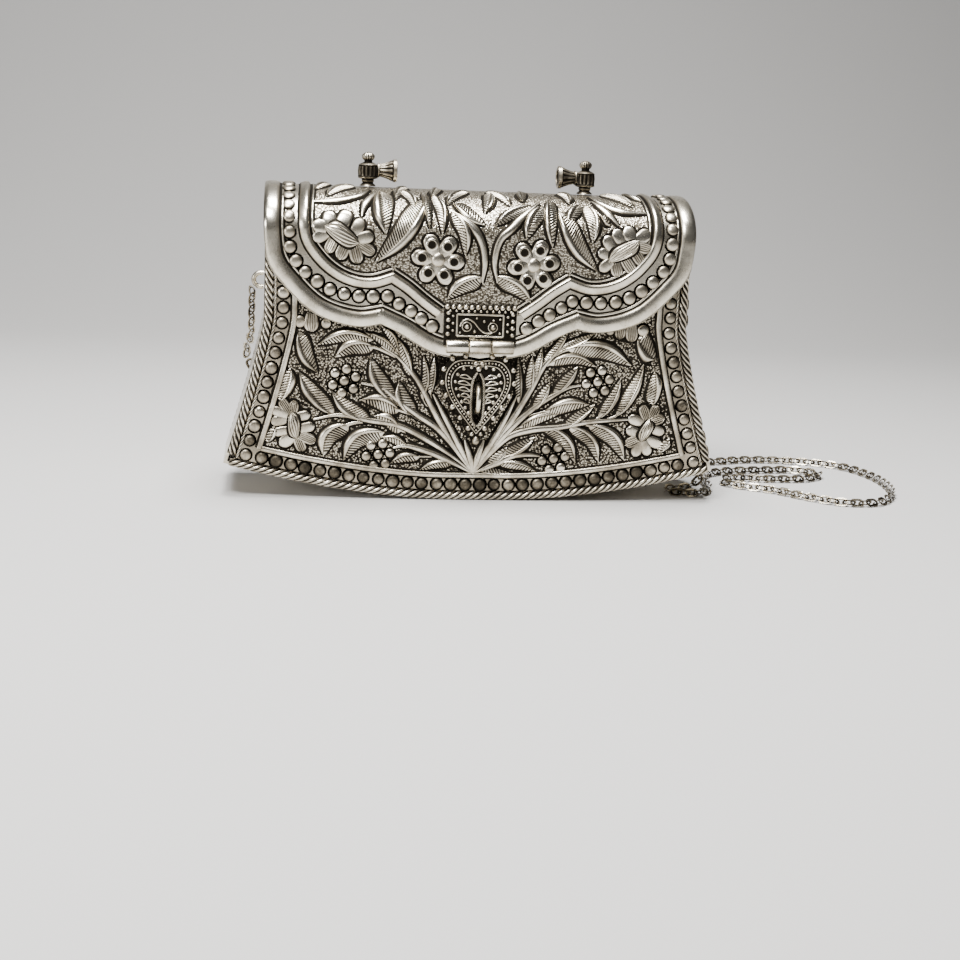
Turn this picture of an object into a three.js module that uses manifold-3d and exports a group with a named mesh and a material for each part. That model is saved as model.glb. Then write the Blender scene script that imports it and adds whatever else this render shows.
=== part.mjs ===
// A rigid box clutch in repousse white metal: a flared case that stands on a curved base, a scalloped
// flap hinged at the back, a filigree hasp over a staple, two handle lugs and a chain strap.
// Millimetres, +Z up, the front faces -Y, the origin is the middle of the stretch that it stands on.
import * as THREE from 'three';
import { mergeVertices } from 'three/addons/utils/BufferGeometryUtils.js';
import Module from 'manifold-3d';

const wasm = await Module();
wasm.setup();

// Case: half width from the crest down to the base corners, and the rise of the curved base.
const TOP_HALF = 88.2;
const FLARE = 15.8;
const FLARE_FROM = 75;
const FLARE_CURVE = 1.2;
const REST_HALF = 13;
const CORNER_RISE = 13.7;
const BASE_CURVE = 1.7;
const PANEL_TOP = 110;
const CASE_DEPTH = 50;
const SHEET = 1.2;
const GAP = 0.3;
const FACE = CASE_DEPTH / 2;

// Borders of the panels, measured in from the outside edge.
const ROPE_RADIUS = 2;
const PANEL_INSET = 2 * ROPE_RADIUS + GAP;
const ROPE_PROUD = 0.6;
const BEAD_RADIUS = 2.5;
const BEAD_HEIGHT = 1.3;
const BEAD_PITCH = 6.2;
const SIDE_BEADS = 7.7;
const BASE_BEADS = 6.8;
const BEADS_FROM = 82;
const SIDE_LINE = 12.4;
const BASE_LINE = 10.9;
const LINE_WIDTH = 2.5;
const LINE_HEIGHT = 1;
const RELIEF = 1;
const EMBED = 0.5;
const SINK = 0.12;

// Flap: a sheet with an elliptical crest, sprung from the front face, ending above the back hinge.
const LID_HALF = 88.4;
const LID_GAP = 1.6;
const LID_FRONT = FACE + LID_GAP + SHEET;
const SPRING_Z = 111;
const CREST = 128;
const LID_BACK_END = 113.6;
const FLAP_BEAD_RADIUS = 2.65;
const FLAP_BEAD_PITCH = 5.9;
const RIM_WIDTH = 6.4;
const RIM_HEIGHT = 1.2;
const EAR_GAP = 0.6;

// Back hinge: five knuckles, the odd ones on the case.
const HINGE_Y = FACE + 0.6;
const HINGE_Z = 111;
const HINGE_HALF = 84;
const KNUCKLES = 5;
const KNUCKLE_RADIUS = 2.1;
const KNUCKLE_BORE = 1.25;
const HINGE_PIN = 0.9;

// Clasp: plate, three knuckles and the heart-shaped hasp with its slot over the staple.
const PLATE_HALF = 15;
const PLATE_LOW = 66;
const PLATE_HIGH = 82.7;
const PLATE_THICK = 1.5;
const CLASP_RADIUS = 2.8;
const CLASP_BORE = 1.1;
const CLASP_PIN = 0.75;
const CLASP_Z = 65.8;
const CLASP_Y = -(LID_FRONT + GAP + CLASP_RADIUS);
const CLASP_HALF = 14;
const TONGUE_HALF = 4.5;
const HASP_BACK = LID_FRONT + 0.5;
const HASP_THICK = 1.5;
const HEART_TOP = 61;
const HEART_TIP = 27.5;
const HEART_HALF = 15;
const SLOT_HALF = 1.7;
const SLOT_LOW = 33;
const SLOT_HIGH = 53.5;
const STAPLE_Z = 44;
const STAPLE_RADIUS = 5.6;
const STAPLE_LEG = 3;
const STAPLE_WIRE = 1;

// Handle lugs on the crest, and the side eyelets that hold the chain.
const LUG_X = 46;
const LUG_HEIGHT = 14;
const SOCKET_HEIGHT = 6.6;
const SOCKET_REACH = 12;
const EYELET_Z = 88;
const EYELET_RADIUS = 2.9;
const EYELET_LEG = 1.2;
const EYELET_WIRE = 1;
const CHAIN_RADIUS = 1.8;

const SILVER = { color: 0xb9b2a2, roughness: 0.36, metalness: 1 };
const DARK_SILVER = { color: 0x8f897c, roughness: 0.42, metalness: 1 };
const BRIGHT_SILVER = { color: 0xcfc9ba, roughness: 0.3, metalness: 1 };

const object = new THREE.Group();

// Outside half width of the case at a height, and the height of its base line across the width.
function halfWidth(z) {
  const down = Math.max(0, FLARE_FROM - z) / (FLARE_FROM - CORNER_RISE);
  return TOP_HALF + FLARE * down ** FLARE_CURVE;
}

const BASE_HALF = halfWidth(CORNER_RISE);

function baseHeight(x) {
  const run = Math.max(0, Math.abs(x) - REST_HALF) / (BASE_HALF - REST_HALF);
  return CORNER_RISE * run ** BASE_CURVE;
}

// One side of the case outline set in from the edge, from a top height down to the base corner.
function sidePoints(inset, baseInset, top, steps) {
  const cornerX = halfWidth(CORNER_RISE + baseInset) - inset;
  const low = baseHeight(cornerX) + baseInset;
  const points = [];
  for (let i = 0; i <= steps; i += 1) {
    const z = top + (low - top) * i / steps;
    points.push(new THREE.Vector2(halfWidth(z) - inset, z));
  }
  return points;
}

// Half of the base line set in from the edge, from the corner to the middle.
function basePoints(inset, baseInset, steps) {
  const cornerX = halfWidth(CORNER_RISE + baseInset) - inset;
  const points = [];
  for (let i = 0; i <= steps; i += 1) {
    const x = cornerX + (REST_HALF - cornerX) * i / steps;
    points.push(new THREE.Vector2(x, baseHeight(x) + baseInset));
  }
  return points;
}

function mirrored(points) {
  return points.map((p) => new THREE.Vector2(-p.x, p.y));
}

// The case outline as one open run from the top right, round the base, to the top left.
function caseRun(inset, top) {
  const half = [...sidePoints(inset, inset, top, 12), ...basePoints(inset, inset, 7).slice(1)];
  return [...half, ...mirrored(half).reverse()];
}

function toSolid(geometry) {
  geometry.deleteAttribute('normal');
  geometry.deleteAttribute('uv');
  const merged = mergeVertices(geometry, 1e-3);
  const vertProperties = new Float32Array(merged.attributes.position.array);
  const triVerts = new Uint32Array(merged.index.array);
  return new wasm.Manifold(new wasm.Mesh({ numProp: 3, vertProperties, triVerts }));
}

function join(solids) {
  return solids.reduce((whole, solid) => whole.add(solid));
}

function addNode(name, solid, finish) {
  const mesh = solid.getMesh();
  const geometry = new THREE.BufferGeometry();
  geometry.setAttribute('position', new THREE.BufferAttribute(mesh.vertProperties, 3));
  geometry.setIndex(new THREE.BufferAttribute(mesh.triVerts, 1));
  geometry.computeVertexNormals();
  const node = new THREE.Mesh(geometry, new THREE.MeshStandardMaterial(finish));
  node.name = name;
  object.add(node);
}

// A plate cut to a shape in X and Z, its front face towards -Y.
function plate(shape, backY, thick) {
  const cut = { depth: thick, bevelEnabled: false, curveSegments: 6 };
  const geometry = new THREE.ExtrudeGeometry(shape, cut);
  geometry.rotateX(Math.PI / 2);
  geometry.translate(0, backY, 0);
  return geometry;
}

function box(x, y, z) {
  const geometry = new THREE.BoxGeometry(x[1] - x[0], y[1] - y[0], z[1] - z[0]);
  return geometry.translate((x[0] + x[1]) / 2, (y[0] + y[1]) / 2, (z[0] + z[1]) / 2);
}

// A round rod along X: a knuckle before it is bored, its bore, or its pin.
function rod(from, to, y, z, radius) {
  const geometry = new THREE.CylinderGeometry(radius, radius, to - from, 10);
  return toSolid(geometry.rotateZ(Math.PI / 2).translate((from + to) / 2, y, z));
}

// Round wire along a curve through points.
function wire(points, radius, steps, sides) {
  const spots = points.map((p) => new THREE.Vector3(...p));
  const path = new THREE.CatmullRomCurve3(spots, false, 'centripetal');
  const circle = new THREE.Shape().absarc(0, 0, radius, 0, 2 * Math.PI);
  return new THREE.ExtrudeGeometry(circle, { steps, extrudePath: path, curveSegments: sides });
}

// Relief is drawn on a flat pattern, x across, s up the sheet and h out of it, then laid on a face.
const onFront = (x, s, h) => new THREE.Vector3(x, -FACE - h, s);
const onHasp = (x, s, h) => new THREE.Vector3(x, -HASP_BACK - HASP_THICK - h, s);
const onPlate = (x, s, h) => new THREE.Vector3(x, -LID_FRONT - GAP - PLATE_THICK - h, s);

const crestCurve = new THREE.EllipseCurve(0, SPRING_Z, LID_FRONT, CREST - SPRING_Z, Math.PI, 0, true);
const crestLength = crestCurve.getLength();

function onFlap(x, s, h) {
  if (s <= SPRING_Z) return new THREE.Vector3(x, -LID_FRONT - h, s);
  const part = Math.min(1, (s - SPRING_Z) / crestLength);
  const spot = crestCurve.getPointAt(part);
  const along = crestCurve.getTangentAt(part);
  return new THREE.Vector3(x, spot.x - along.y * h, spot.y + along.x * h);
}

function lay(geometry, face) {
  const spot = geometry.attributes.position;
  for (let i = 0; i < spot.count; i += 1) {
    const p = face(spot.getX(i), spot.getY(i), spot.getZ(i));
    spot.setXYZ(i, p.x, p.y, p.z);
  }
  return toSolid(geometry);
}

const EVEN = () => 1;
const LEAF = (t) => Math.max(0.06, Math.sin(Math.PI * t ** 0.8) ** 0.8);
const STEM = (t) => 1 - 0.55 * t;

// A raised ridge along a curve of the pattern: a cylinder bent along it and widened by a taper.
// Three sides give a creased ridge, six a rounded one.
function ridge(points, width, height, steps, taper = EVEN, sides = 3) {
  const path = through(points);
  const body = new THREE.CylinderGeometry(1, 1, 1, sides, steps);
  const spread = sides === 3 ? Math.sqrt(3) : 1;
  const spot = body.attributes.position;
  for (let i = 0; i < spot.count; i += 1) {
    const t = THREE.MathUtils.clamp(spot.getY(i) + 0.5, 0, 1);
    const centre = path.getPointAt(t);
    const along = path.getTangentAt(t);
    const across = spread * spot.getX(i) * taper(t) * width / 2;
    const rise = Math.max(-EMBED, spot.getZ(i) * height * (0.4 + 0.6 * taper(t)) - SINK);
    spot.setXYZ(i, centre.x + along.y * across, centre.y - along.x * across, rise);
  }
  return body;
}

// A leaf from base to tip, its middle bowed to one side.
function leaf([x0, s0, x1, s1, width, bow], height = RELIEF) {
  const run = Math.hypot(x1 - x0, s1 - s0);
  const middle = [(x0 + x1) / 2 + bow * (s1 - s0) / run, (s0 + s1) / 2 - bow * (x1 - x0) / run];
  return ridge([[x0, s0], middle, [x1, s1]], width, height, width < 7 ? 2 : 3, LEAF);
}

// A low boss: a lathe profile of shares of its radius and height.
const BOSS = [[1, -EMBED], [0.8, 0.7], [0, 1]];
const BOSS_SIDES = 5;

function boss(x, s, radius, height) {
  const turned = BOSS.map(([r, h]) => new THREE.Vector2(r * radius, h < 0 ? h : h * height));
  const geometry = new THREE.LatheGeometry([new THREE.Vector2(0, -EMBED), ...turned], BOSS_SIDES);
  return geometry.rotateX(Math.PI / 2).translate(x, s, 0);
}

// A smooth curve through points of the flat pattern.
function through(points) {
  const spots = points.map(([x, s]) => new THREE.Vector3(x, s, 0));
  return new THREE.CatmullRomCurve3(spots, false, 'centripetal');
}

function beadRow(points, pitch, radius, height, skipFirst = false) {
  const path = through(points);
  const count = Math.round(path.getLength() / pitch);
  const spots = path.getSpacedPoints(count).slice(skipFirst ? 1 : 0);
  return spots.map((p) => boss(p.x, p.y, radius, height));
}

function bossRing(x, s, radiusX, radiusS, count, turn, size, height) {
  const ring = [];
  for (let i = 0; i < count; i += 1) {
    const angle = turn + 2 * Math.PI * i / count;
    const spot = [x + radiusX * Math.cos(angle), s + radiusS * Math.sin(angle)];
    ring.push(boss(...spot, size, height));
  }
  return ring;
}

// A flat flower or berry cluster with a lobed edge and a raised heart, for the flat panel.
function rosette(x, s, radiusX, radiusS, lobes, notch, height) {
  const edge = [];
  for (let i = 0; i < 2 * lobes; i += 1) {
    const angle = Math.PI * i / lobes;
    const reach = i % 2 === 0 ? 1 : notch;
    const across = x + reach * radiusX * Math.cos(angle);
    const up = s + reach * radiusS * Math.sin(angle);
    edge.push(new THREE.Vector2(across, up));
  }
  const depth = height + EMBED;
  const geometry = new THREE.ExtrudeGeometry(new THREE.Shape(edge), { depth, bevelEnabled: false });
  return geometry.translate(0, 0, -EMBED);
}

const pairs = (points) => points.map((p) => [p.x, p.y]);
const flip = (points) => points.map(([x, s]) => [-x, s]);
const bothSides = (points) => [points, flip(points)];

// Front panel field. Stems run from the root at the base of the clasp, as rows of x, z points.
const ROOT = [0, 11.6];
const STEM_WIDTH = 2.6;
const PANEL_STEMS = [
  [[-9, 24], [-17.5, 38], [-25, 51], [-33, 60], [-40, 64.5]],
  [[-15, 30], [-24, 36], [-32.5, 42], [-39, 47], [-48, 49]],
  [[-6.5, 17], [-19.5, 25.5], [-32, 31.5], [-44.5, 33.5], [-57, 35.5], [-67, 33.5]],
  [[-8.5, 16], [-19, 20.5], [-29.5, 23], [-34, 22]],
  [[10, 26], [18, 39], [24, 50], [28, 58], [34, 64.5], [40, 69]],
  [[14.5, 30.5], [24.5, 40], [32.5, 45.5], [39, 49], [44, 50]],
  [[6.5, 19.5], [14.5, 27.5], [23, 30.5], [35.5, 32], [48, 34.5], [66, 36]],
  [[10.5, 16.5], [17, 19.5], [23.5, 20], [28, 19.5]],
];

// Leaves of the front panel: base x, base z, tip x, tip z, width, bow.
const PANEL_LEAVES = [
  [-74, 69.5, -66, 53, 6, 1],
  [-81, 41, -77, 54.5, 6.5, 0],
  [-59, 36, -73.5, 53, 6.5, -1],
  [-44.5, 33.5, -60, 45, 6, -1],
  [-43.5, 67, -66, 64.5, 5, 2.5],
  [-43.5, 64, -59, 59.5, 6, 2],
  [-34.5, 42, -44.5, 59.5, 6.5, -1],
  [-26, 36, -32.5, 50, 6, -1],
  [-32, 38, -48, 42, 6, 1],
  [-31, 29.5, -42.5, 35.5, 5, 1],
  [-53, 31.5, -63, 18, 7, 3],
  [-38, 28.5, -54.5, 16.5, 7, 3.5],
  [-23, 18.5, -35, 15.5, 4, 1],
  [-8.5, 16, -23, 12.5, 3.6, 1],
  [-86, 23.5, -83, 30.5, 4, 0],
  [-27, 52.5, -33.5, 68, 4, 0],
  [38, 65, 65, 59, 7, -3],
  [30, 58.5, 50.5, 58, 4.5, -3],
  [33, 46, 42.5, 58, 4.5, 0],
  [24.5, 39, 31, 51, 4, 0],
  [29, 38.5, 48, 42, 5.5, -1],
  [37.5, 32, 50.5, 42, 4, 0],
  [52.5, 36.5, 61, 53, 4.5, 1],
  [60, 37.5, 70.5, 59.5, 5, 1],
  [18.5, 31.5, 35, 37.5, 4, -1],
  [29, 31.5, 43.5, 17, 5, -3],
  [40, 32, 53.5, 17.5, 5, -3],
  [48.5, 33, 64.5, 18.5, 6, -3],
  [12.5, 18.5, 25.5, 27.5, 4.5, 0],
  [6.5, 15, 14, 23, 4, 0],
  [10.5, 16, 27, 12.8, 3.6, -1],
  [67.5, 70.5, 75.5, 61.5, 8, 0],
  [75.5, 42.5, 75.5, 56.5, 6, 0],
  [79.5, 22, 83.5, 28, 4, 0],
];

// Berry clusters: centre x, z. Corner flowers: centre x, z.
const BERRIES = [[-55, 49.7], [-40.2, 19], [51.2, 51.7], [34, 18.6]];
const BERRY_RADIUS = 6.6;
const CORNER_FLOWERS = [[-76, 31.5], [73.5, 31.8]];

function frontPanel() {
  const outline = new THREE.Shape(caseRun(PANEL_INSET, PANEL_TOP));
  const sheet = toSolid(plate(outline, -FACE + SHEET, SHEET));
  const relief = [];
  for (const side of bothSides(pairs(sidePoints(SIDE_BEADS, BASE_BEADS, BEADS_FROM, 9)))) {
    relief.push(...beadRow(side, BEAD_PITCH, BEAD_RADIUS, BEAD_HEIGHT));
  }
  const base = pairs(basePoints(SIDE_BEADS, BASE_BEADS, 8));
  const baseBeads = beadRow([...base, ...flip(base).reverse()], BEAD_PITCH, BEAD_RADIUS, BEAD_HEIGHT, true);
  relief.push(...baseBeads.slice(0, -1));
  for (const side of bothSides(pairs(sidePoints(SIDE_LINE, BASE_LINE, BEADS_FROM, 9)))) {
    relief.push(ridge(side, LINE_WIDTH, LINE_HEIGHT, 5));
  }
  const line = pairs(basePoints(SIDE_LINE, BASE_LINE, 6));
  relief.push(ridge([...line, ...flip(line).reverse()], LINE_WIDTH, LINE_HEIGHT, 10));
  for (const stem of PANEL_STEMS) relief.push(ridge([ROOT, ...stem], STEM_WIDTH, RELIEF, 4, STEM));
  for (const row of PANEL_LEAVES) relief.push(leaf(row));
  for (const [x, z] of BERRIES) {
    relief.push(rosette(x, z, BERRY_RADIUS, BERRY_RADIUS, 6, 0.7, RELIEF));
    relief.push(boss(x, z, BERRY_RADIUS / 3, BEAD_HEIGHT));
  }
  for (const [x, z] of CORNER_FLOWERS) {
    relief.push(rosette(x, z, 8.4, 10, 8, 0.78, RELIEF * 0.7));
    relief.push(leaf([x, z - 6, x, z + 6, 5, 0], BEAD_HEIGHT));
  }
  return join([sheet, ...relief.map((geometry) => lay(geometry, onFront))]);
}

// The case carries the odd knuckles of the back hinge, the flap the even ones.
function hingeKnuckles(onCase) {
  const width = 2 * HINGE_HALF / KNUCKLES;
  const solids = [];
  for (let i = 0; i < KNUCKLES; i += 1) {
    if ((i % 2 === 0) !== onCase) continue;
    const from = -HINGE_HALF + i * width + GAP / 2;
    const to = from + width - GAP;
    const tab = onCase
      ? box([from, to], [FACE - SHEET, FACE], [PANEL_TOP - 4, HINGE_Z - KNUCKLE_BORE - 0.2])
      : box([from, to], [LID_FRONT - SHEET, LID_FRONT - 0.1], [HINGE_Z, LID_BACK_END + 0.6]);
    solids.push(toSolid(tab));
    solids.push(rod(from, to, HINGE_Y, HINGE_Z, KNUCKLE_RADIUS));
  }
  const bore = rod(-LID_HALF, LID_HALF, HINGE_Y, HINGE_Z, KNUCKLE_BORE);
  return join(solids).subtract(bore);
}

function backPanel() {
  const top = HINGE_Z - KNUCKLE_RADIUS - 2 * GAP;
  const outline = new THREE.Shape(caseRun(PANEL_INSET, top));
  return toSolid(plate(outline, FACE, SHEET)).add(hingeKnuckles(true));
}

// Section of the flap from front edge to back edge, as a run of y, z points at a depth under its face.
function lidSection(under, low, backEnd) {
  const deep = LID_FRONT - under;
  const rise = CREST - SPRING_Z - under;
  const crest = new THREE.EllipseCurve(0, SPRING_Z, deep, rise, Math.PI, 0, true);
  const run = crest.getPoints(12).filter((p) => p.x < 0 || p.y > backEnd + 0.4);
  const backY = deep * Math.sqrt(1 - ((backEnd - SPRING_Z) / rise) ** 2);
  return [new THREE.Vector2(-deep, low), ...run, new THREE.Vector2(backY, backEnd)];
}

// One strip bent round the base and up both sides, its ends rounded to fill the flap's crest.
function gusset() {
  const outer = caseRun(0, CREST);
  const inner = caseRun(SHEET, CREST + 1).reverse();
  const half = FACE + ROPE_PROUD - 2 * ROPE_RADIUS - GAP;
  const strip = toSolid(plate(new THREE.Shape([...outer, ...inner]), half, 2 * half));
  const side = new THREE.Shape(lidSection(SHEET + EAR_GAP, -1, SPRING_Z - 2));
  const last = side.getPoints().at(-1);
  side.lineTo(last.x, -1);
  const prism = new THREE.ExtrudeGeometry(side, { depth: 2 * BASE_HALF + 4, bevelEnabled: false });
  prism.rotateZ(Math.PI / 2).rotateY(Math.PI / 2).translate(-BASE_HALF - 2, 0, 0);
  return strip.intersect(toSolid(prism));
}

// Scalloped lower edge of the flap, from the right side to the tip, as x, z points.
const SCALLOP_SIDE = [[LID_HALF, 108], [86.8, 97], [80, 88], [67.5, 77.2], [50, 72.4], [40, 73.7]];
const SCALLOP_TIP = [[40, 73.7], [33.4, 70.3], [19.3, 62.6], [0, 59]];
const RIM_SIDE = [
  [85.1, 150], [85.1, 107], [83.4, 98.5], [77.4, 90.5], [65.8, 80.2], [50, 75.7], [41, 77],
];
const RIM_TIP = [[41, 77], [31.8, 73.2], [18.6, 66]];
const BEADS_SIDE = [
  [78.6, 121], [78.6, 109], [77.4, 101], [70.4, 92.8], [61, 87], [50, 84.8], [38.2, 85.2],
];
const BEADS_TIP = [[38.2, 85.2], [29.2, 79.6], [19.6, 73.4]];
const LINE_SIDE = [
  [72, 124], [72, 109], [67.4, 101], [60, 94.4], [52, 91], [44.5, 90.5], [36.6, 93],
];
const LINE_TIP = [[36.6, 93], [30.2, 88.8], [23.6, 83.6], [17, 79]];

// Leaves of the flap on the pattern: base x, base s, tip x, tip s, width, bow.
const FLAP_LEAVES = [
  [-42, 139, -39, 111, 7, 1.5],
  [-44, 131, -48, 111, 5, -2],
  [-26, 140, -42.5, 99, 10, 2],
  [-23, 138, -15.5, 112, 4.5, 0],
  [-14, 121, -6.8, 102.5, 4.5, -2],
  [0, 94, -12.5, 85.5, 6, 1],
  [-12, 127, 1.5, 115, 5.5, 1],
  [41.5, 133, 44.5, 109.5, 7, -1],
  [48, 124, 55, 115, 4.5, -1],
  [32, 128, 47, 98, 8.5, -2],
  [26, 132, 29.5, 107.5, 5, -2],
  [23, 128, 15.5, 109, 6.5, 0],
  [6.5, 93, 19.5, 84.5, 6, -1],
  [19, 128, 4.5, 115.5, 5.5, -1],
];
const FLAP_STEMS = [
  [[-68, 122.5], [-57, 124.5], [-51, 128.5], [-46, 138]],
  [[-11, 120], [-4.3, 113.2], [-0.8, 107], [0.6, 99.5], [0, 93]],
  [[68, 122.5], [61.5, 121.5], [56, 123.5], [50, 128.5]],
  [[24, 128], [12, 114.5], [7, 109.5], [5, 100.5], [6.8, 92]],
];
// Peonies: centre x, s, almond start x, s and end x, s. Daisies: centre x, s.
const PEONIES = [[-56.8, 109.3, -63.5, 112, -50, 107.5], [58.6, 106.5, 52.2, 102.5, 64.3, 111]];
const DAISIES = [[-18, 100.6], [20.8, 99.8]];

function flap() {
  const section = new THREE.Shape([
    ...lidSection(0, 50, LID_BACK_END),
    ...lidSection(SHEET, 50, LID_BACK_END).reverse(),
  ]);
  const bent = new THREE.ExtrudeGeometry(section, { depth: 2 * LID_HALF, bevelEnabled: false });
  bent.rotateZ(Math.PI / 2).rotateY(Math.PI / 2).translate(-LID_HALF, 0, 0);
  const edge = [...scallop(SCALLOP_SIDE, 14), ...scallop(SCALLOP_TIP, 8).slice(1)];
  const outline = new THREE.Shape([
    new THREE.Vector2(LID_HALF + 1, CREST + 2),
    new THREE.Vector2(LID_HALF + 1, edge[0].y),
    ...edge,
    ...mirrored(edge).reverse().slice(1),
    new THREE.Vector2(-LID_HALF - 1, edge[0].y),
    new THREE.Vector2(-LID_HALF - 1, CREST + 2),
  ]);
  const cutter = toSolid(plate(outline, LID_FRONT + 2, 2 * LID_FRONT + 4));
  const sheet = toSolid(bent).intersect(cutter);
  const relief = [];
  for (const side of bothSides(RIM_SIDE)) relief.push(ridge(side, RIM_WIDTH, RIM_HEIGHT, 10, EVEN, 6));
  for (const side of bothSides(RIM_TIP)) relief.push(ridge(side, RIM_WIDTH, RIM_HEIGHT, 3, EVEN, 6));
  for (const side of bothSides(LINE_SIDE)) relief.push(ridge(side, LINE_WIDTH, LINE_HEIGHT, 9));
  for (const side of bothSides(LINE_TIP)) relief.push(ridge(side, LINE_WIDTH, LINE_HEIGHT, 3));
  for (const side of bothSides(BEADS_SIDE)) {
    relief.push(...beadRow(side, FLAP_BEAD_PITCH, FLAP_BEAD_RADIUS, BEAD_HEIGHT));
  }
  for (const side of bothSides(BEADS_TIP)) {
    relief.push(...beadRow(side, FLAP_BEAD_PITCH, FLAP_BEAD_RADIUS, BEAD_HEIGHT, true));
  }
  for (const row of FLAP_LEAVES) relief.push(leaf(row));
  for (const stem of FLAP_STEMS) relief.push(ridge(stem, STEM_WIDTH, RELIEF, 4, STEM));
  for (const [x, s, x0, s0, x1, s1] of PEONIES) {
    relief.push(leaf([x0, s0, x1, s1, 6, 0], BEAD_HEIGHT));
    relief.push(...bossRing(x, s, 9.4, 7.6, 6, 0.4, 4.4, RELIEF));
  }
  for (const [x, s] of DAISIES) {
    relief.push(boss(x, s, 3.2, BEAD_HEIGHT));
    relief.push(...bossRing(x, s, 6.7, 6.7, 6, 0.5, 3.9, RELIEF));
  }
  return join([sheet, hingeKnuckles(false), ...relief.map((geometry) => lay(geometry, onFlap))]);
}

function scallop(points, steps) {
  return through(points).getPoints(steps).map((p) => new THREE.Vector2(p.x, p.y));
}

// Clasp plate soldered to the flap, granules round a wire frame that holds a scroll.
function claspPlate() {
  const back = -LID_FRONT - GAP;
  const body = toSolid(box([-PLATE_HALF, PLATE_HALF], [back - PLATE_THICK, back], [PLATE_LOW, PLATE_HIGH]));
  const solids = [body];
  for (const [from, to] of [[-CLASP_HALF, -TONGUE_HALF - GAP], [TONGUE_HALF + GAP, CLASP_HALF]]) {
    solids.push(rod(from, to, CLASP_Y, CLASP_Z, CLASP_RADIUS));
  }
  const frame = [[-9.6, 70.2], [-9.6, 78.8], [9.2, 78.8], [9.2, 70.2]];
  frame.forEach((corner, i) => {
    solids.push(lay(ridge([corner, frame[(i + 1) % 4]], 0.9, 0.9, 1), onPlate));
  });
  const scroll = [[-8.4, 72], [-5, 77.4], [-1, 75.4], [2, 72], [7.6, 71.4]];
  solids.push(lay(ridge(scroll, 0.9, 0.8, 8), onPlate));
  solids.push(lay(boss(-5, 73.8, 1.3, 1.1), onPlate), lay(boss(5.4, 74.4, 1.5, 1.2), onPlate));
  const border = [[-13.2, 71], [-13.2, 81], [13.2, 81], [13.2, 71]];
  for (let i = 0; i < 3; i += 1) {
    const row = beadRow([border[i], border[i + 1]], 3.3, 1.4, 1, i > 0);
    solids.push(...row.map((granules) => lay(granules, onPlate)));
  }
  const tongueRoom = box(
    [-TONGUE_HALF - GAP, TONGUE_HALF + GAP],
    [back - 2 * CLASP_RADIUS - 1, back + 1],
    [PLATE_LOW - 5, CLASP_Z + CLASP_RADIUS + GAP],
  );
  const bore = rod(-PLATE_HALF - 1, PLATE_HALF + 1, CLASP_Y, CLASP_Z, CLASP_BORE);
  return join(solids).subtract(toSolid(tongueRoom)).subtract(bore);
}

// Hasp: heart of filigree with openings either side of the slot, as x, z, half width, half height.
const HASP_OPENINGS = [
  [6.8, 55.2, 2.6, 1.2],
  [7, 50.8, 3, 1.2],
  [6.6, 46.4, 2.6, 1.2],
  [5.2, 41.6, 1.8, 1.2],
];
const GRANULE = 1.5;
const HASP_GRANULES = 16;

function hasp() {
  const heart = new THREE.Shape().moveTo(0, HEART_TOP);
  heart.bezierCurveTo(5, HEART_TOP + 1, HEART_HALF, HEART_TOP + 1, HEART_HALF, 51.5);
  heart.bezierCurveTo(HEART_HALF, 43, 4.5, 35, 0, HEART_TIP);
  heart.bezierCurveTo(-4.5, 35, -HEART_HALF, 43, -HEART_HALF, 51.5);
  heart.bezierCurveTo(-HEART_HALF, HEART_TOP + 1, -5, HEART_TOP + 1, 0, HEART_TOP);
  const rim = heart.getPoints(6).map((p) => [p.x * 0.84, 46 + (p.y - 46) * 0.88]);
  const edge = heart.getSpacedPoints(HASP_GRANULES).filter((p) => p.y < HEART_TOP - 1.5);
  const slot = new THREE.Path().moveTo(-SLOT_HALF, SLOT_LOW);
  slot.lineTo(SLOT_HALF, SLOT_LOW).lineTo(SLOT_HALF, SLOT_HIGH).lineTo(-SLOT_HALF, SLOT_HIGH).closePath();
  heart.holes.push(slot);
  for (const [x, z, w, h] of HASP_OPENINGS) {
    for (const side of [-1, 1]) {
      const points = [[-w, -0.4 * side], [0, -h], [w, 0.4 * side], [0, h]].map(([dx, dz]) =>
        new THREE.Vector2(side * x + dx, z + dz));
      heart.holes.push(new THREE.Path(points));
    }
  }
  const solids = [toSolid(plate(heart, -HASP_BACK, HASP_THICK))];
  const half = (rim.length - 1) / 2;
  solids.push(lay(ridge(rim.slice(0, half + 1), 1.6, 0.8, 9), onHasp));
  solids.push(lay(ridge(rim.slice(half), 1.6, 0.8, 9), onHasp));
  const middle = -HASP_BACK - HASP_THICK / 2;
  for (const spot of edge) solids.push(granule(spot.x, middle, spot.y, GRANULE));
  solids.push(granule(0, middle, HEART_TIP - 1.2, 1.9));
  const front = -HASP_BACK - HASP_THICK;
  const tongue = box([-TONGUE_HALF, TONGUE_HALF], [front, -HASP_BACK], [HEART_TOP - 2, CLASP_Z]);
  solids.push(toSolid(tongue));
  solids.push(rod(-TONGUE_HALF, TONGUE_HALF, CLASP_Y, CLASP_Z, CLASP_RADIUS));
  const bore = rod(-PLATE_HALF, PLATE_HALF, CLASP_Y, CLASP_Z, CLASP_BORE);
  return join(solids).subtract(bore);
}

function granule(x, y, z, radius) {
  return toSolid(new THREE.SphereGeometry(radius, 5, 3).translate(x, y, z));
}

// A half ring of wire with straight legs that end just off the wall it is soldered to.
function arch(at, radius, leg, wireRadius) {
  const points = [at(0, radius)];
  for (let i = 0; i <= 8; i += 1) {
    const angle = Math.PI * i / 8;
    points.push(at(leg + radius * Math.sin(angle), radius * Math.cos(angle)));
  }
  points.push(at(0, -radius));
  return toSolid(wire(points, wireRadius, 12, 3));
}

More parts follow.
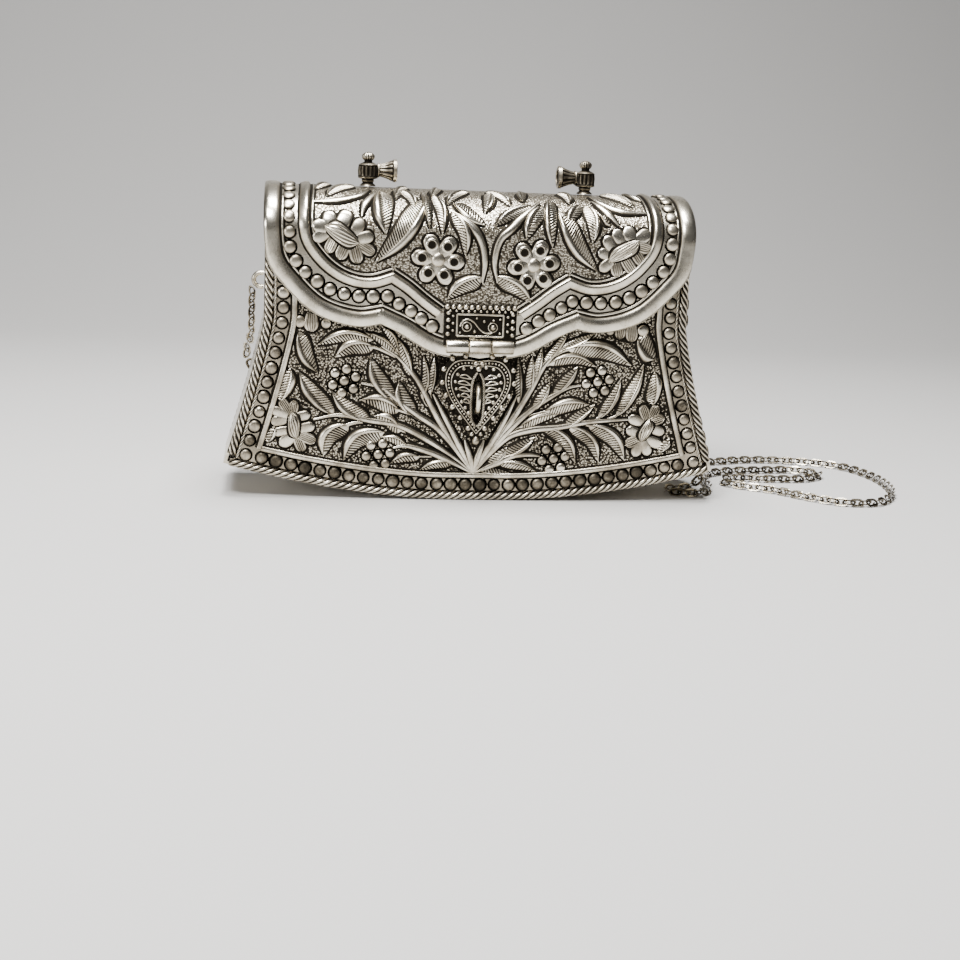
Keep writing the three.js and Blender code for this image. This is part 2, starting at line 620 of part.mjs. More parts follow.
// Handle lug: a turned post with a ball, and a socket towards the middle. Profiles are radius, height.
const POST = [
  [3, 0], [1.8, 1.4], [2.3, 2.6], [3.5, 3.4], [3.5, 8.8],
  [1.3, 10], [1.3, 10.6], [2.4, 11.8], [2.4, 12.8], [0, LUG_HEIGHT],
];
const SOCKET = [
  [2.2, 0], [2.4, 5], [3.2, 8.5], [4, 11], [4, SOCKET_REACH],
  [2.2, SOCKET_REACH], [2.2, 6.5], [0, 6.5],
];

function turned(profile, sides) {
  const points = [[0, profile[0][1]], ...profile].map(([r, h]) => new THREE.Vector2(r, h));
  return new THREE.LatheGeometry(points, sides).rotateX(Math.PI / 2);
}

function lug(side) {
  const foot = CREST + GAP;
  const post = turned(POST, 8).translate(side * LUG_X, 0, foot);
  const socket = turned(SOCKET, 8).rotateY(-side * Math.PI / 2);
  socket.translate(side * LUG_X, 0, foot + SOCKET_HEIGHT);
  return toSolid(post).add(toSolid(socket));
}

// Rope edging laid along the seam of a panel and the gusset, in three lengths.
function rope(points, y, steps) {
  return toSolid(wire(points.map((p) => [p.x, y, p.y]), ROPE_RADIUS, steps, 3));
}

// Chain strap: from the left eyelet, behind the case, out to the right and back to the right eyelet.
const LIE = CHAIN_RADIUS + 0.1;
const CHAIN_ROUTE = [
  [-93.2, 0.5, EYELET_Z - 5.2], [-93.4, 8, 73], [-93.6, 16, 63], [-95.4, 25, 54], [-92, 31, 45],
  [-86, 33.5, 35], [-79, 35, 21], [-73.5, 37, 9.5], [-68, 39, 3.6], [-61, 41.5, LIE],
  [-52, 44, LIE], [-20, 47, LIE], [30, 48, LIE], [80, 50, LIE], [122, 57, LIE],
  [147, 65, LIE], [172, 63, LIE], [189, 52, LIE], [196, 32, LIE], [196, 10, LIE],
  [190, -12, LIE], [178, -27, LIE], [163, -28, LIE], [150, -18, LIE], [138, -4, LIE],
  [125, 5, LIE], [119.5, 13, LIE], [126, 21, LIE], [144, 20, LIE], [162, 22, LIE],
  [171, 31, LIE], [164, 41, LIE], [145, 40, LIE], [127, 36, LIE], [116, 28, LIE],
  [111, 14, LIE], [109, -2, LIE], [104, -11, LIE], [95, -13, LIE], [89, -9, LIE],
  [91, -3.4, LIE], [98, -1.4, LIE], [103.6, 0, 4.2], [106.3, 0, 9], [106.8, 0, 16],
  [104.6, 0, 25], [98.4, 0, 44], [94.9, 0, 56], [93.3, 0, 70], [93.2, 0.5, EYELET_Z - 5.2],
];

addNode('front_panel', frontPanel(), SILVER);
addNode('back_panel', backPanel(), SILVER);
addNode('gusset', gusset(), DARK_SILVER);
for (const [face, y] of [['front', -1], ['back', 1]]) {
  const ropeY = y * (FACE + ROPE_PROUD - ROPE_RADIUS);
  const side = sidePoints(ROPE_RADIUS, ROPE_RADIUS, PANEL_TOP - 1.5, 10);
  side[side.length - 1].y += 2 * ROPE_RADIUS;
  const base = basePoints(ROPE_RADIUS, ROPE_RADIUS, 7);
  addNode(`rope_${face}_left`, rope(mirrored(side), ropeY, 8), SILVER);
  addNode(`rope_${face}_base`, rope([...base, ...mirrored(base).reverse()], ropeY, 14), SILVER);
  addNode(`rope_${face}_right`, rope(side, ropeY, 8), SILVER);
}
addNode('hinge_pin', rod(-HINGE_HALF, HINGE_HALF, HINGE_Y, HINGE_Z, HINGE_PIN), SILVER);
const onPanel = (out, up) => [0, -FACE - GAP - out, STAPLE_Z + up];
addNode('staple', arch(onPanel, STAPLE_RADIUS, STAPLE_LEG, STAPLE_WIRE), BRIGHT_SILVER);
for (const [name, side] of [['left', -1], ['right', 1]]) {
  const wall = halfWidth(EYELET_Z - EYELET_RADIUS - EYELET_WIRE) + GAP;
  const onWall = (out, up) => [side * (wall + out), 0, EYELET_Z + up];
  addNode(`eyelet_${name}`, arch(onWall, EYELET_RADIUS, EYELET_LEG, EYELET_WIRE), SILVER);
}
addNode('chain', toSolid(wire(CHAIN_ROUTE, CHAIN_RADIUS, 70, 3)), SILVER);
addNode('flap', flap(), SILVER);
addNode('clasp_plate', claspPlate(), BRIGHT_SILVER);
addNode('clasp_pin', rod(-CLASP_HALF, CLASP_HALF, CLASP_Y, CLASP_Z, CLASP_PIN), SILVER);
addNode('lug_left', lug(-1), SILVER);
addNode('lug_right', lug(1), SILVER);
addNode('hasp', hasp(), BRIGHT_SILVER);

export default object;
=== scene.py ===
import math
import random

import bmesh
import bpy
import numpy as np
from mathutils import Matrix, Vector


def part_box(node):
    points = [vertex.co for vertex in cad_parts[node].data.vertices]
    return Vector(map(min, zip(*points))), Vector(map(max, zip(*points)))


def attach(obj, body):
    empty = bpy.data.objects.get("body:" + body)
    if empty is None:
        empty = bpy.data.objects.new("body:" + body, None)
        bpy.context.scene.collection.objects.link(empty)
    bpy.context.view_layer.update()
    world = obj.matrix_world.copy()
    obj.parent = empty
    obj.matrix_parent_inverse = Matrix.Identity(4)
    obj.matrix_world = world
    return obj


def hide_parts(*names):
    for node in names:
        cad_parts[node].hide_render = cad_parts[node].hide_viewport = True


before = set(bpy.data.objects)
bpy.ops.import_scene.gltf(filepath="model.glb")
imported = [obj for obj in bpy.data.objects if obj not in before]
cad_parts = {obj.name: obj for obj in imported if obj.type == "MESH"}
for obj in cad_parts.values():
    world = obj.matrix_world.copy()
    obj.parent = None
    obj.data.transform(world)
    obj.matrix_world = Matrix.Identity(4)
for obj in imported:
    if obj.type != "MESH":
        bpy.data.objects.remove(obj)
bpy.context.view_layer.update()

# Gusset: one strip of white metal, bent round the base and up both sides of the case. Its rounded ends
# fill the crest of the flap. It is plain rolled sheet, darkened and rubbed back by hand, and the panels
# are soldered to it under the rope edging. Sizes are in millimetres until a piece is finished.
TOP_HALF = 88.2
FLARE = 15.8
FLARE_FROM = 75
FLARE_CURVE = 1.2
REST_HALF = 13
CORNER_RISE = 13.7
BASE_CURVE = 1.7
PANEL_TOP = 110
SHEET = 1.2
SPRING_Z = 111
EAR_DEEP = 26
EAR_RISE = 15.2
PER_METRE = 1000
GUSSET_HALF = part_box("gusset")[1].y * PER_METRE
WELD = 0.001
CREASE = math.radians(50)
# Tints of the metal from rubbed to blackened: depth of tarnish, red, green, blue.
TINTS = [
    (0.18, 0.82, 0.765, 0.64), (0.42, 0.42, 0.37, 0.285),
    (0.68, 0.1, 0.085, 0.062), (0.95, 0.014, 0.012, 0.009),
]
CLOUD_SCALE = 110
STAIN_FROM = 0.33
STAIN_TO = 0.67
FLECK_SCALE = 1300
FLECK_SHARE = 0.22
RUBBED_ROUGHNESS = 0.15
TARNISHED_ROUGHNESS = 0.62
TARNISHED_DEPTH = 1.1
DENT_STRENGTH = 0.5


def half_width(z):
    down = max(0, FLARE_FROM - z) / (FLARE_FROM - CORNER_RISE)
    return TOP_HALF + FLARE * down ** FLARE_CURVE


BASE_HALF = half_width(CORNER_RISE)


def base_height(x):
    run = max(0, abs(x) - REST_HALF) / (BASE_HALF - REST_HALF)
    return CORNER_RISE * run ** BASE_CURVE


def side_run(inset, base_inset, top, steps):
    """Right side of the case outline, set in from the edge, from a height down to the base corner."""
    corner = half_width(CORNER_RISE + base_inset) - inset
    low = base_height(corner) + base_inset
    heights = np.linspace(top, low, steps + 1)
    return [(half_width(z) - inset, z) for z in heights]


def base_run(inset, base_inset, steps):
    """Base line of the case outline, set in from the edge, from the right corner to the left one."""
    corner = half_width(CORNER_RISE + base_inset) - inset
    return [(x, base_height(x) + base_inset) for x in np.linspace(corner, -corner, steps + 1)]


def flip(points):
    return [(-p[0], *p[1:]) for p in points]


def add_node(tree, kind, values=(), operation=None):
    """A shader node, with values for some of its sockets as pairs of socket and value."""
    made = tree.nodes.new("ShaderNode" + kind)
    if operation:
        made.operation = operation
    for socket, value in values:
        made.inputs[socket].default_value = value
    return made


def aged_silver_group():
    """Tarnish for every finish: bright where the metal is rubbed, near black in its recesses, and painted
    shade and light where a piece's values carry them.
    """
    tree = bpy.data.node_groups.new("aged_silver", "ShaderNodeTree")
    for name, way, kind in (
            ("Recess", "INPUT", "Float"), ("Clouding", "INPUT", "Float"), ("Colour", "OUTPUT", "Color"),
            ("Roughness", "OUTPUT", "Float"), ("Dents", "OUTPUT", "Float")):
        tree.interface.new_socket(name, in_out=way, socket_type="NodeSocket" + kind)
    given = tree.nodes.new("NodeGroupInput")
    put_out = tree.nodes.new("NodeGroupOutput")
    connect = tree.links.new
    place = add_node(tree, "TexCoord")
    cloud = add_node(tree, "TexNoise", [("Scale", CLOUD_SCALE), ("Detail", 5)])
    fleck = add_node(tree, "TexNoise", [("Scale", FLECK_SCALE), ("Detail", 3)])
    for noise in (cloud, fleck):
        connect(place.outputs["Object"], noise.inputs["Vector"])
    stain = add_node(tree, "MapRange", [("From Min", STAIN_FROM), ("From Max", STAIN_TO)])
    connect(cloud.outputs["Fac"], stain.inputs["Value"])
    clouded = add_node(tree, "Math", operation="MULTIPLY_ADD")
    connect(stain.outputs["Result"], clouded.inputs[0])
    connect(given.outputs["Clouding"], clouded.inputs[1])
    connect(given.outputs["Recess"], clouded.inputs[2])
    depth = add_node(tree, "Math", [(1, FLECK_SHARE)], "MULTIPLY_ADD")
    connect(fleck.outputs["Fac"], depth.inputs[0])
    connect(clouded.outputs[0], depth.inputs[2])
    tint = add_node(tree, "ValToRGB")
    ramp = tint.color_ramp.elements
    for k, (deep, *colour) in enumerate(TINTS):
        stop = ramp.new(deep) if k else ramp[0]
        stop.position = deep
        stop.color = (*colour, 1)
    ramp.remove(ramp[-1])
    connect(depth.outputs[0], tint.inputs["Fac"])
    dull = add_node(tree, "MapRange", [
        ("From Max", TARNISHED_DEPTH), ("To Min", RUBBED_ROUGHNESS), ("To Max", TARNISHED_ROUGHNESS)])
    connect(depth.outputs[0], dull.inputs["Value"])
    connect(tint.outputs["Color"], put_out.inputs["Colour"])
    connect(dull.outputs["Result"], put_out.inputs["Roughness"])
    connect(cloud.outputs["Fac"], put_out.inputs["Dents"])
    return tree


AGED_SILVER = aged_silver_group()


def silver(name, clouding, dent):
    """White metal whose tarnish follows the piece's own recess attribute, with soft dents in its light."""
    material = bpy.data.materials.new(name)
    material.use_nodes = True
    tree = material.node_tree
    shader = tree.nodes["Principled BSDF"]
    shader.inputs["Metallic"].default_value = 1
    connect = tree.links.new
    recess = add_node(tree, "Attribute")
    recess.attribute_name = "recess"
    metal = add_node(tree, "Group")
    metal.node_tree = AGED_SILVER
    metal.inputs["Clouding"].default_value = clouding
    bump = add_node(tree, "Bump", [("Strength", DENT_STRENGTH), ("Distance", dent)])
    connect(recess.outputs["Fac"], metal.inputs["Recess"])
    connect(metal.outputs["Colour"], shader.inputs["Base Color"])
    connect(metal.outputs["Roughness"], shader.inputs["Roughness"])
    connect(metal.outputs["Dents"], bump.inputs["Height"])
    connect(bump.outputs["Normal"], shader.inputs["Normal"])
    return material


plain_sheet = silver("plain_sheet", clouding=0.3, dent=0.0004)


def finish(bm, name, body, materials, stands_for=()):
    """Turns a piece from millimetres to metres, and hands it to the body that carries it."""
    bmesh.ops.scale(bm, vec=(1 / PER_METRE,) * 3, verts=bm.verts)
    for face in bm.faces:
        face.smooth = True
    mesh = bpy.data.meshes.new(name)
    bm.to_mesh(mesh)
    bm.free()
    for material in materials:
        mesh.materials.append(material)
    mesh.set_sharp_from_angle(angle=CREASE)
    piece = bpy.data.objects.new(name, mesh)
    bpy.context.scene.collection.objects.link(piece)
    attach(piece, body)
    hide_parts(*stands_for)
    return piece


def grid_steps(bm, along, across):
    """A flat grid, and the step along and across it of each of its points."""
    made = bmesh.ops.create_grid(bm, x_segments=along, y_segments=across, size=1)["verts"]
    i = np.array([round((v.co.x + 1) / 2 * along) for v in made])
    j = np.array([round((v.co.y + 1) / 2 * across) for v in made])
    return made, i, j


def gusset():
    ear = [math.sin(turn) for turn in np.linspace(math.pi / 2, 0, 13)]
    run = [(TOP_HALF, SPRING_Z + EAR_RISE * up) for up in ear]
    run += side_run(0, 0, SPRING_Z - 1, steps=50)
    base = base_run(0, 0, steps=90)[1:-1]
    run = run + base + flip(run)[::-1]
    bm = bmesh.new()
    across = 12
    made, i, j = grid_steps(bm, len(run) - 1, across)
    for v, step, row in zip(made, i, j):
        x, z = run[step]
        rise = min(1, max(0, (z - SPRING_Z) / EAR_RISE))
        deep = min(GUSSET_HALF, EAR_DEEP * math.sqrt(1 - rise * rise))
        v.co = (x, deep * (2 * row / across - 1), z)
    bmesh.ops.remove_doubles(bm, verts=bm.verts, dist=WELD)
    bmesh.ops.recalc_face_normals(bm, faces=bm.faces)
    bmesh.ops.solidify(bm, geom=bm.faces[:], thickness=SHEET)
    return finish(bm, "gusset_strip", "case", [plain_sheet], ["gusset"])


gusset()

# Back panel: a plain sheet of the same outline as the front, with three of the five hinge knuckles rolled
# from tabs at its top edge. It is soldered to the gusset, and nothing is chased on it.
FACE = 25
PANEL_INSET = 4.3
HINGE_Y = FACE + 0.6
HINGE_Z = 111
HINGE_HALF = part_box("hinge_pin")[1].x * PER_METRE
KNUCKLES = 5
KNUCKLE_RADIUS = 2.1
HINGE_GAP = 0.3
BACK_TOP = HINGE_Z - KNUCKLE_RADIUS - 0.6
TAB_INSET = 0.1
TAB_LAP = 1.5
TAB_SHORT = 1.4
EVEN = 0.01
ROD_BEVEL = 0.15
TAB_BEVEL = 0.15


def panel_sheet(bm, top, along, across):
    """A sheet cut to the case outline, drawn on the flat pattern: x across, s up and h out of the face."""
    made, i, j = grid_steps(bm, along, across)
    for v, step, row in zip(made, i, j):
        u = 2 * step / along - 1
        x = u * BASE_HALF
        for _ in range(4):
            low = base_height(x) + PANEL_INSET
            z = low + (top - low) * row / across
            x = u * (half_width(z) - PANEL_INSET)
        v.co = (x, z, 0)
    return made


def break_edges(bm, verts, bevel, rims_only=False):
    """Rounds off the edges at some points: all of them, or only the rims that lie square to X."""
    edges = {edge for v in verts for edge in v.link_edges}
    if rims_only:
        edges = {edge for edge in edges if abs(edge.verts[0].co.x - edge.verts[1].co.x) < EVEN}
    bmesh.ops.bevel(
        bm, geom=list(edges), offset=bevel, affect="EDGES", segments=2, profile=0.5, material=-1)


def rod(bm, start, end, y, z, radius, sides=24):
    """A round bar along X with softened ends."""
    turn = Matrix.Translation(((start + end) / 2, y, z)) @ Matrix.Rotation(math.pi / 2, 4, "Y")
    made = bmesh.ops.create_cone(
        bm, cap_ends=True, segments=sides, radius1=radius, radius2=radius, depth=end - start, matrix=turn)
    break_edges(bm, made["verts"], ROD_BEVEL * radius, rims_only=True)


def block(bm, low, high, bevel):
    """A square-cut bar between two corners, its edges broken."""
    low = Vector(low)
    high = Vector(high)
    place = Matrix.Translation((low + high) / 2) @ Matrix.Diagonal((*(high - low), 1))
    made = bmesh.ops.create_cube(bm, size=1, matrix=place)["verts"]
    break_edges(bm, made, bevel)


def hinge_knuckles(bm, first, tab_low, tab_high):
    """Every other knuckle of the back hinge, each on its tab."""
    width = 2 * HINGE_HALF / KNUCKLES
    for i in range(first, KNUCKLES, 2):
        start = -HINGE_HALF + i * width + HINGE_GAP / 2
        end = start + width - HINGE_GAP
        rod(bm, start, end, HINGE_Y, HINGE_Z, KNUCKLE_RADIUS)
        block(bm, (start, *tab_low), (end, *tab_high), TAB_BEVEL)


def back_panel():
    bm = bmesh.new()
    made = panel_sheet(bm, BACK_TOP, along=60, across=40)
    for v in made:
        v.co = (-v.co.x, FACE, v.co.y)
    bm.normal_update()
    bmesh.ops.solidify(bm, geom=bm.faces[:], thickness=SHEET)
    tab_low = (FACE - SHEET + TAB_INSET, BACK_TOP - TAB_LAP)
    tab_high = (FACE - TAB_INSET, HINGE_Z - TAB_SHORT)
    hinge_knuckles(bm, 0, tab_low, tab_high)
    return finish(bm, "back_sheet", "case", [plain_sheet], ["back_panel"])


back_panel()

# Front panel: a sheet chased from the front and raised from the back. A bead row and a flat line follow
# the edge, and sprays of leaves, berries and corner flowers rise from one root over a punched ground.
# Tarnish is left in every recess, the high places are rubbed bright, and the hasp's shadow is painted on the
# ground.
RELIEF = 1.5
BEAD_RADIUS = 2.5
BEAD_HEIGHT = 1.3
BEAD_PITCH = 6.2
SIDE_BEADS = 7.7
BASE_BEADS = 6.8
BEADS_FROM = 98
SIDE_LINE = 12.4
BASE_LINE = 10.9
LINE_WIDTH = 2.5
LINE_TOP = PANEL_TOP - 3
SIDE_DULL = 0.1
BASE_DULL = 0.25
HATCH_PITCH = 1.2
HATCH_DEPTH = 0.36
HATCH_EVERY = 3
HATCH_START = 0.08
HATCH_END = 0.95
HATCH_SLANT = 0.7
LEAF_FULL = 1.22
THIN_RISE = 0.4
STALK_REACH = 4
STALK_BACK = 9
STALK_WIDTH = 0.2
STALK_END = 0.9
PETAL_STEP = 0.4
PETAL_HEIGHT = 1.1
PETAL_DROP = 0.12
PETAL_ROOT = 0.2
ALMOND_HEIGHT = 2.3
OUTLINE = 0.7
HAND = random.Random(11)
# How far hand work strays: shares of size, height and tarnish, and millimetres of place.
SIZE_STRAY = (0.93, 1.06)
HEIGHT_STRAY = (0.85, 1.15)
DULL_STRAY = (0.8, 1.2)
PLACE_STRAY = (-0.2, 0.2)


def both_edges(half):
    """A cross-section from its left edge to its middle, and mirrored from there to its right edge."""
    return half + [(-across, -beyond, *rest) for across, beyond, *rest in half if across][::-1]


# Cross-sections of chased strips: share across, millimetres beyond, share of height, recess, hatch.
LEAF_SECTION = [
    (-1, -0.75, 0, 1, 0), (-1, -0.3, 0.2, 1, 0), (-1, 0, 0.22, 1, 0), (-0.92, 0, 0.42, 0.7, 0.4),
    (-0.75, 0, 0.55, 0.1, 1), (-0.4, 0, 0.7, 0, 1), (0, 0, 0.84, 0, 1), (0.26, 0, 0.84, 0.35, 0.8),
    (0.36, 0, 1.05, 0, 0), (0.54, 0, 1.2, 0, 0), (0.72, 0, 1.08, 0, 0), (0.9, 0, 0.6, 0.4, 0),
    (1, 0, 0.22, 1, 0), (1, 0.3, 0.2, 1, 0), (1, 0.75, 0, 1, 0),
]
STEM_SECTION = both_edges([
    (-1, -0.7, 0, 1, 0), (-1, -0.3, 0.4, 1, 0), (-1, 0, 0.45, 1, 0), (-0.8, 0, 0.72, 0.5, 0),
    (-0.5, 0, 0.92, 0, 0), (0, 0, 1, 0, 0),
])
LINE_SECTION = both_edges([
    (-1, -0.55, 0, 1, 0), (-1, 0, 0.15, 0.95, 0), (-0.78, 0, 0.85, 0.1, 0), (-0.4, 0, 1, 0, 0),
])
ALMOND_SECTION = both_edges([
    (-1, -0.75, 0, 1, 0), (-1, -0.65, 0.7, 1, 0), (-1, 0, 0.72, 1, 0), (-0.86, 0, 0.95, 0.1, 0),
    (-0.7, 0, 1, 0, 0), (-0.6, 0, 0.88, 0.65, 0), (-0.5, 0, 1.04, 0, 0), (-0.3, 0, 1.08, 0, 0),
    (-0.2, 0, 0.98, 0.5, 0), (-0.1, 0, 1.1, 0, 0),
])
PLAIN_PETAL = both_edges([
    (-1, -0.3, 0, 1, 0), (-1, 0, 0.35, 1, 0), (-0.86, 0, 0.8, 0.2, 0), (-0.6, 0, 0.98, 0, 0),
    (0, 0, 0.96, 0.05, 0),
])
VEINED_PETAL = both_edges([
    (-1, -0.3, 0, 1, 0), (-1, 0, 0.35, 1, 0), (-0.86, 0, 0.8, 0.2, 0), (-0.64, 0, 0.98, 0, 0),
    (-0.48, 0, 0.8, 0.5, 0), (-0.32, 0, 1, 0, 0), (-0.16, 0, 0.82, 0.5, 0), (0, 0, 1.02, 0, 0),
])
OUTLINE_SECTION = both_edges([(-1, -OUTLINE, 0.12, 1, 0)])
# Turned bosses: share of radius, share of height, recess.
BEAD = [
    (1.22, 0, 0.25), (1.13, 0, 0.95), (1.02, 0, 1), (0.98, 0.32, 0.8), (0.9, 0.58, 0.25), (0.72, 0.82, 0.1),
    (0.45, 0.96, 0.06), (0.2, 1, 0.06), (0, 1, 0.1),
]


def distances(run):
    """How far along a run each of its points lies."""
    return np.concatenate([[0], np.cumsum(np.linalg.norm(np.diff(run, axis=0), axis=1))])


def directions(path):
    along = np.gradient(path, axis=0)
    return along / np.linalg.norm(along, axis=1)[:, None]


def curve_through(points, steps):
    """Evenly spaced points along a smooth curve through a few given ones."""
    p = np.array(points, float)
    p = np.vstack([2 * p[0] - p[1], p, 2 * p[-1] - p[-2]])
    gaps = np.linalg.norm(np.diff(p, axis=0), axis=1) ** 0.5
    knot = np.concatenate([[0], np.cumsum(gaps)])
    run = []
    for k in range(1, len(p) - 2):
        at = np.linspace(knot[k], knot[k + 1], 25)[:, None]
        first = [
            ((knot[m + 1] - at) * p[m] + (at - knot[m]) * p[m + 1]) / (knot[m + 1] - knot[m])
            for m in (k - 1, k, k + 1)]
        second = [
            ((knot[m + 2] - at) * first[n] + (at - knot[m]) * first[n + 1]) / (knot[m + 2] - knot[m])
            for n, m in enumerate((k - 1, k))]
        third = ((knot[k + 1] - at) * second[0] + (at - knot[k]) * second[1]) / (knot[k + 1] - knot[k])
        run.append(third if k == len(p) - 3 else third[:-1])
    run = np.vstack(run)
    far = distances(run)
    even = np.linspace(0, far[-1], steps + 1)
    return np.column_stack([np.interp(even, far, run[:, k]) for k in range(run.shape[1])])


def run_length(points):
    return float(np.linalg.norm(np.diff(np.array(points, float), axis=0), axis=1).sum())


def new_relief():
    bm = bmesh.new()
    bm.verts.layers.float.new("recess")
    bm.verts.layers.float.new("matting")
    return bm


def join_to(bm, part, material=0):
    """Joins a part that was made on its own to the rest of its piece."""
    for face in part.faces:
        face.material_index = material
    mesh = bpy.data.meshes.new("part")
    part.to_mesh(mesh)
    part.free()
    bm.from_mesh(mesh)
    bpy.data.meshes.remove(mesh)


def chased_strip(bm, path, section, width, height, taper, shift=0, slant=0, every=0, hatch_from=0):
    """A raised strip along a path of the flat pattern, hatched at every so many of its steps."""
    part = new_relief()
    dark = part.verts.layers.float["recess"]
    steps = len(path) - 1
    made, i, j = grid_steps(part, steps, len(section) - 1)
    across, beyond, rise, recess, cut = np.array(section, float)[j].T
    t = i / steps
    wide = taper(t)
    offset = across * wide * width / 2 + beyond + shift
    length = run_length(path)
    slid = np.clip(t + 4 * t * (1 - t) * slant * offset / length, 0, 1)
    along = directions(path)
    share = np.linspace(0, 1, steps + 1)
    x, s, along_x, along_s = (np.interp(slid, share, line) for line in (*path.T, *along.T))
    h = rise * height * (THIN_RISE + (1 - THIN_RISE) * wide)
    if every:
        groove = (i % every == 0) * cut * (t > hatch_from) * (t < HATCH_END)
        h = h - HATCH_DEPTH * groove
        recess = np.maximum(recess, groove)
    for v, *spot, depth in zip(made, x - along_s * offset, s + along_x * offset, h, recess):
        v.co = spot
        v[dark] = depth
    join_to(bm, part)


def even_taper(t):
    return np.ones_like(t)


def leaf_taper(t):
    return np.maximum(0.1, np.sin(np.pi * t ** 0.8) ** 0.8)


def stem_taper(t):
    return np.interp(t, [0, 0.12, 0.36, 0.75, 1], [0.3, 0.5, 1, 0.8, 0.3])


def almond_taper(t):
    return np.maximum(0.04, np.sin(np.pi * t) ** 0.75)


def stalk_start(stems, x, s):
    """A place on the nearest stem, some way down it, where the stalk of a leaf leaves it."""
    for path in stems:
        far = np.hypot(path[:, 0] - x, path[:, 1] - s)
        near = int(far.argmin())
        if far[near] < STALK_REACH and near > STALK_BACK:
            return [tuple(path[near - STALK_BACK])]
    return []


def leaf(bm, x0, s0, x1, s1, width, bow, height=RELIEF, section=LEAF_SECTION, taper=leaf_taper, stems=()):
    """A hatched leaf from base to tip, its middle bowed to one side, smooth along its bowed margin."""
    run = math.hypot(x1 - x0, s1 - s0)
    middle = ((x0 + x1) / 2 + bow * (s1 - s0) / run, (s0 + s1) / 2 - bow * (x1 - x0) / run)
    points = stalk_start(stems, x0, s0) + [(x0, s0), middle, (x1, s1)]
    steps = HATCH_EVERY * max(4, round(run_length(points) / HATCH_PITCH))
    path = curve_through(points, steps)
    stalk = 1 - run_length(points[-3:]) / run_length(points)

    def outline(t):
        thin = STALK_WIDTH * (stalk > 0) * (t < STALK_END)
        return np.maximum(thin, taper(np.clip((t - stalk) / (1 - stalk), 0, 1)))

    margin = -1 if bow >= 0 else 1
    turned = [(margin * row[0], margin * row[1], *row[2:]) for row in section][::margin]
    chased_strip(
        bm, path, turned, width, height, outline, slant=HATCH_SLANT * margin, every=HATCH_EVERY,
        hatch_from=stalk + HATCH_START)


def lathe(part, points, steps):
    """Spins a run of points round the Z axis, and joins up its seam and its middle."""
    edges = [part.edges.new(pair) for pair in zip(points, points[1:])]
    bmesh.ops.spin(
        part, geom=points + edges, axis=(0, 0, 1), cent=(0, 0, 0), angle=2 * math.pi, steps=steps,
        use_merge=True)
    bmesh.ops.remove_doubles(part, verts=part.verts, dist=WELD)


def boss(bm, x, s, radius, height, profile=BEAD, dull=0, sides=16):
    """A turned boss on the flat pattern, with a tarnished ring round its foot."""
    part = new_relief()
    dark = part.verts.layers.float["recess"]
    points = [part.verts.new((share * radius, 0, rise * height)) for share, rise, _ in profile]
    lathe(part, points, sides)
    shares = [row[0] for row in profile][::-1]
    depths = [row[2] for row in profile][::-1]
    for v in part.verts:
        v[dark] = dull + float(np.interp(math.hypot(v.co.x, v.co.y) / radius, shares, depths))
    bmesh.ops.translate(part, vec=(x, s, 0), verts=part.verts)
    join_to(bm, part)


def bead_row(bm, points, pitch, radius, height, dull, ends=(True, True)):
    """Hand-punched beads along a line, none quite like the next."""
    path = curve_through(points, max(1, round(run_length(points) / pitch)))
    spots = path[0 if ends[0] else 1:len(path) if ends[1] else -1]
    for x, s in spots:
        size = radius * HAND.uniform(*SIZE_STRAY)
        spot = (x + HAND.uniform(*PLACE_STRAY), s + HAND.uniform(*PLACE_STRAY))
        rise = height * HAND.uniform(*HEIGHT_STRAY)
        boss(bm, *spot, size, rise, dull=dull * HAND.uniform(*DULL_STRAY))


def petal(bm, x0, s0, x1, s1, width, height, section):
    """A round-ended petal from the heart of its flower outwards, inside a blackened outline."""
    length = math.hypot(x1 - x0, s1 - s0)
    steps = max(8, round(length / PETAL_STEP))
    round_from = max(0, 1 - width / 2 / length)

    def outline(t):
        past = np.maximum(0, (t - round_from) / (1 - round_from))
        return np.minimum(0.7 + 0.6 * t, 1) * np.sqrt(np.maximum(0.02, 1 - past ** 2))

    beyond = 1 + OUTLINE / length
    edge = (x0 + beyond * (x1 - x0), s0 + beyond * (s1 - s0))
    chased_strip(bm, curve_through([(x0, s0), edge], steps), OUTLINE_SECTION, width, 1, outline)
    chased_strip(bm, curve_through([(x0, s0), (x1, s1)], steps), section, width, height, outline)


def flower(bm, heart, lobes):
    """An almond heart with lobed petals all round it."""
    x0, s0, x1, s1, width = heart
    along = np.array([x1 - x0, s1 - s0])
    for k, (x, s, radius, veined) in enumerate(lobes):
        share = np.dot([x - x0, s - s0], along) / np.dot(along, along)
        share = np.clip(share, PETAL_ROOT, 1 - PETAL_ROOT)
        root = np.array([x0, s0]) + share * along
        out = np.array([x, s]) - root
        edge = root + out * (1 + radius / np.linalg.norm(out))
        section = VEINED_PETAL if veined else PLAIN_PETAL
        petal(bm, *root, *edge, 2 * radius, PETAL_HEIGHT - PETAL_DROP * (k % 2), section)
    leaf(bm, x0, s0, x1, s1, width, 0, ALMOND_HEIGHT, ALMOND_SECTION, almond_taper)


GRAIN_SCALE = 1250
GRAIN_TOP = 0.25
GRAIN_FOOT = 0.62
GRAIN_RUBBED = 0.3
GRAIN_DARK = -0.4


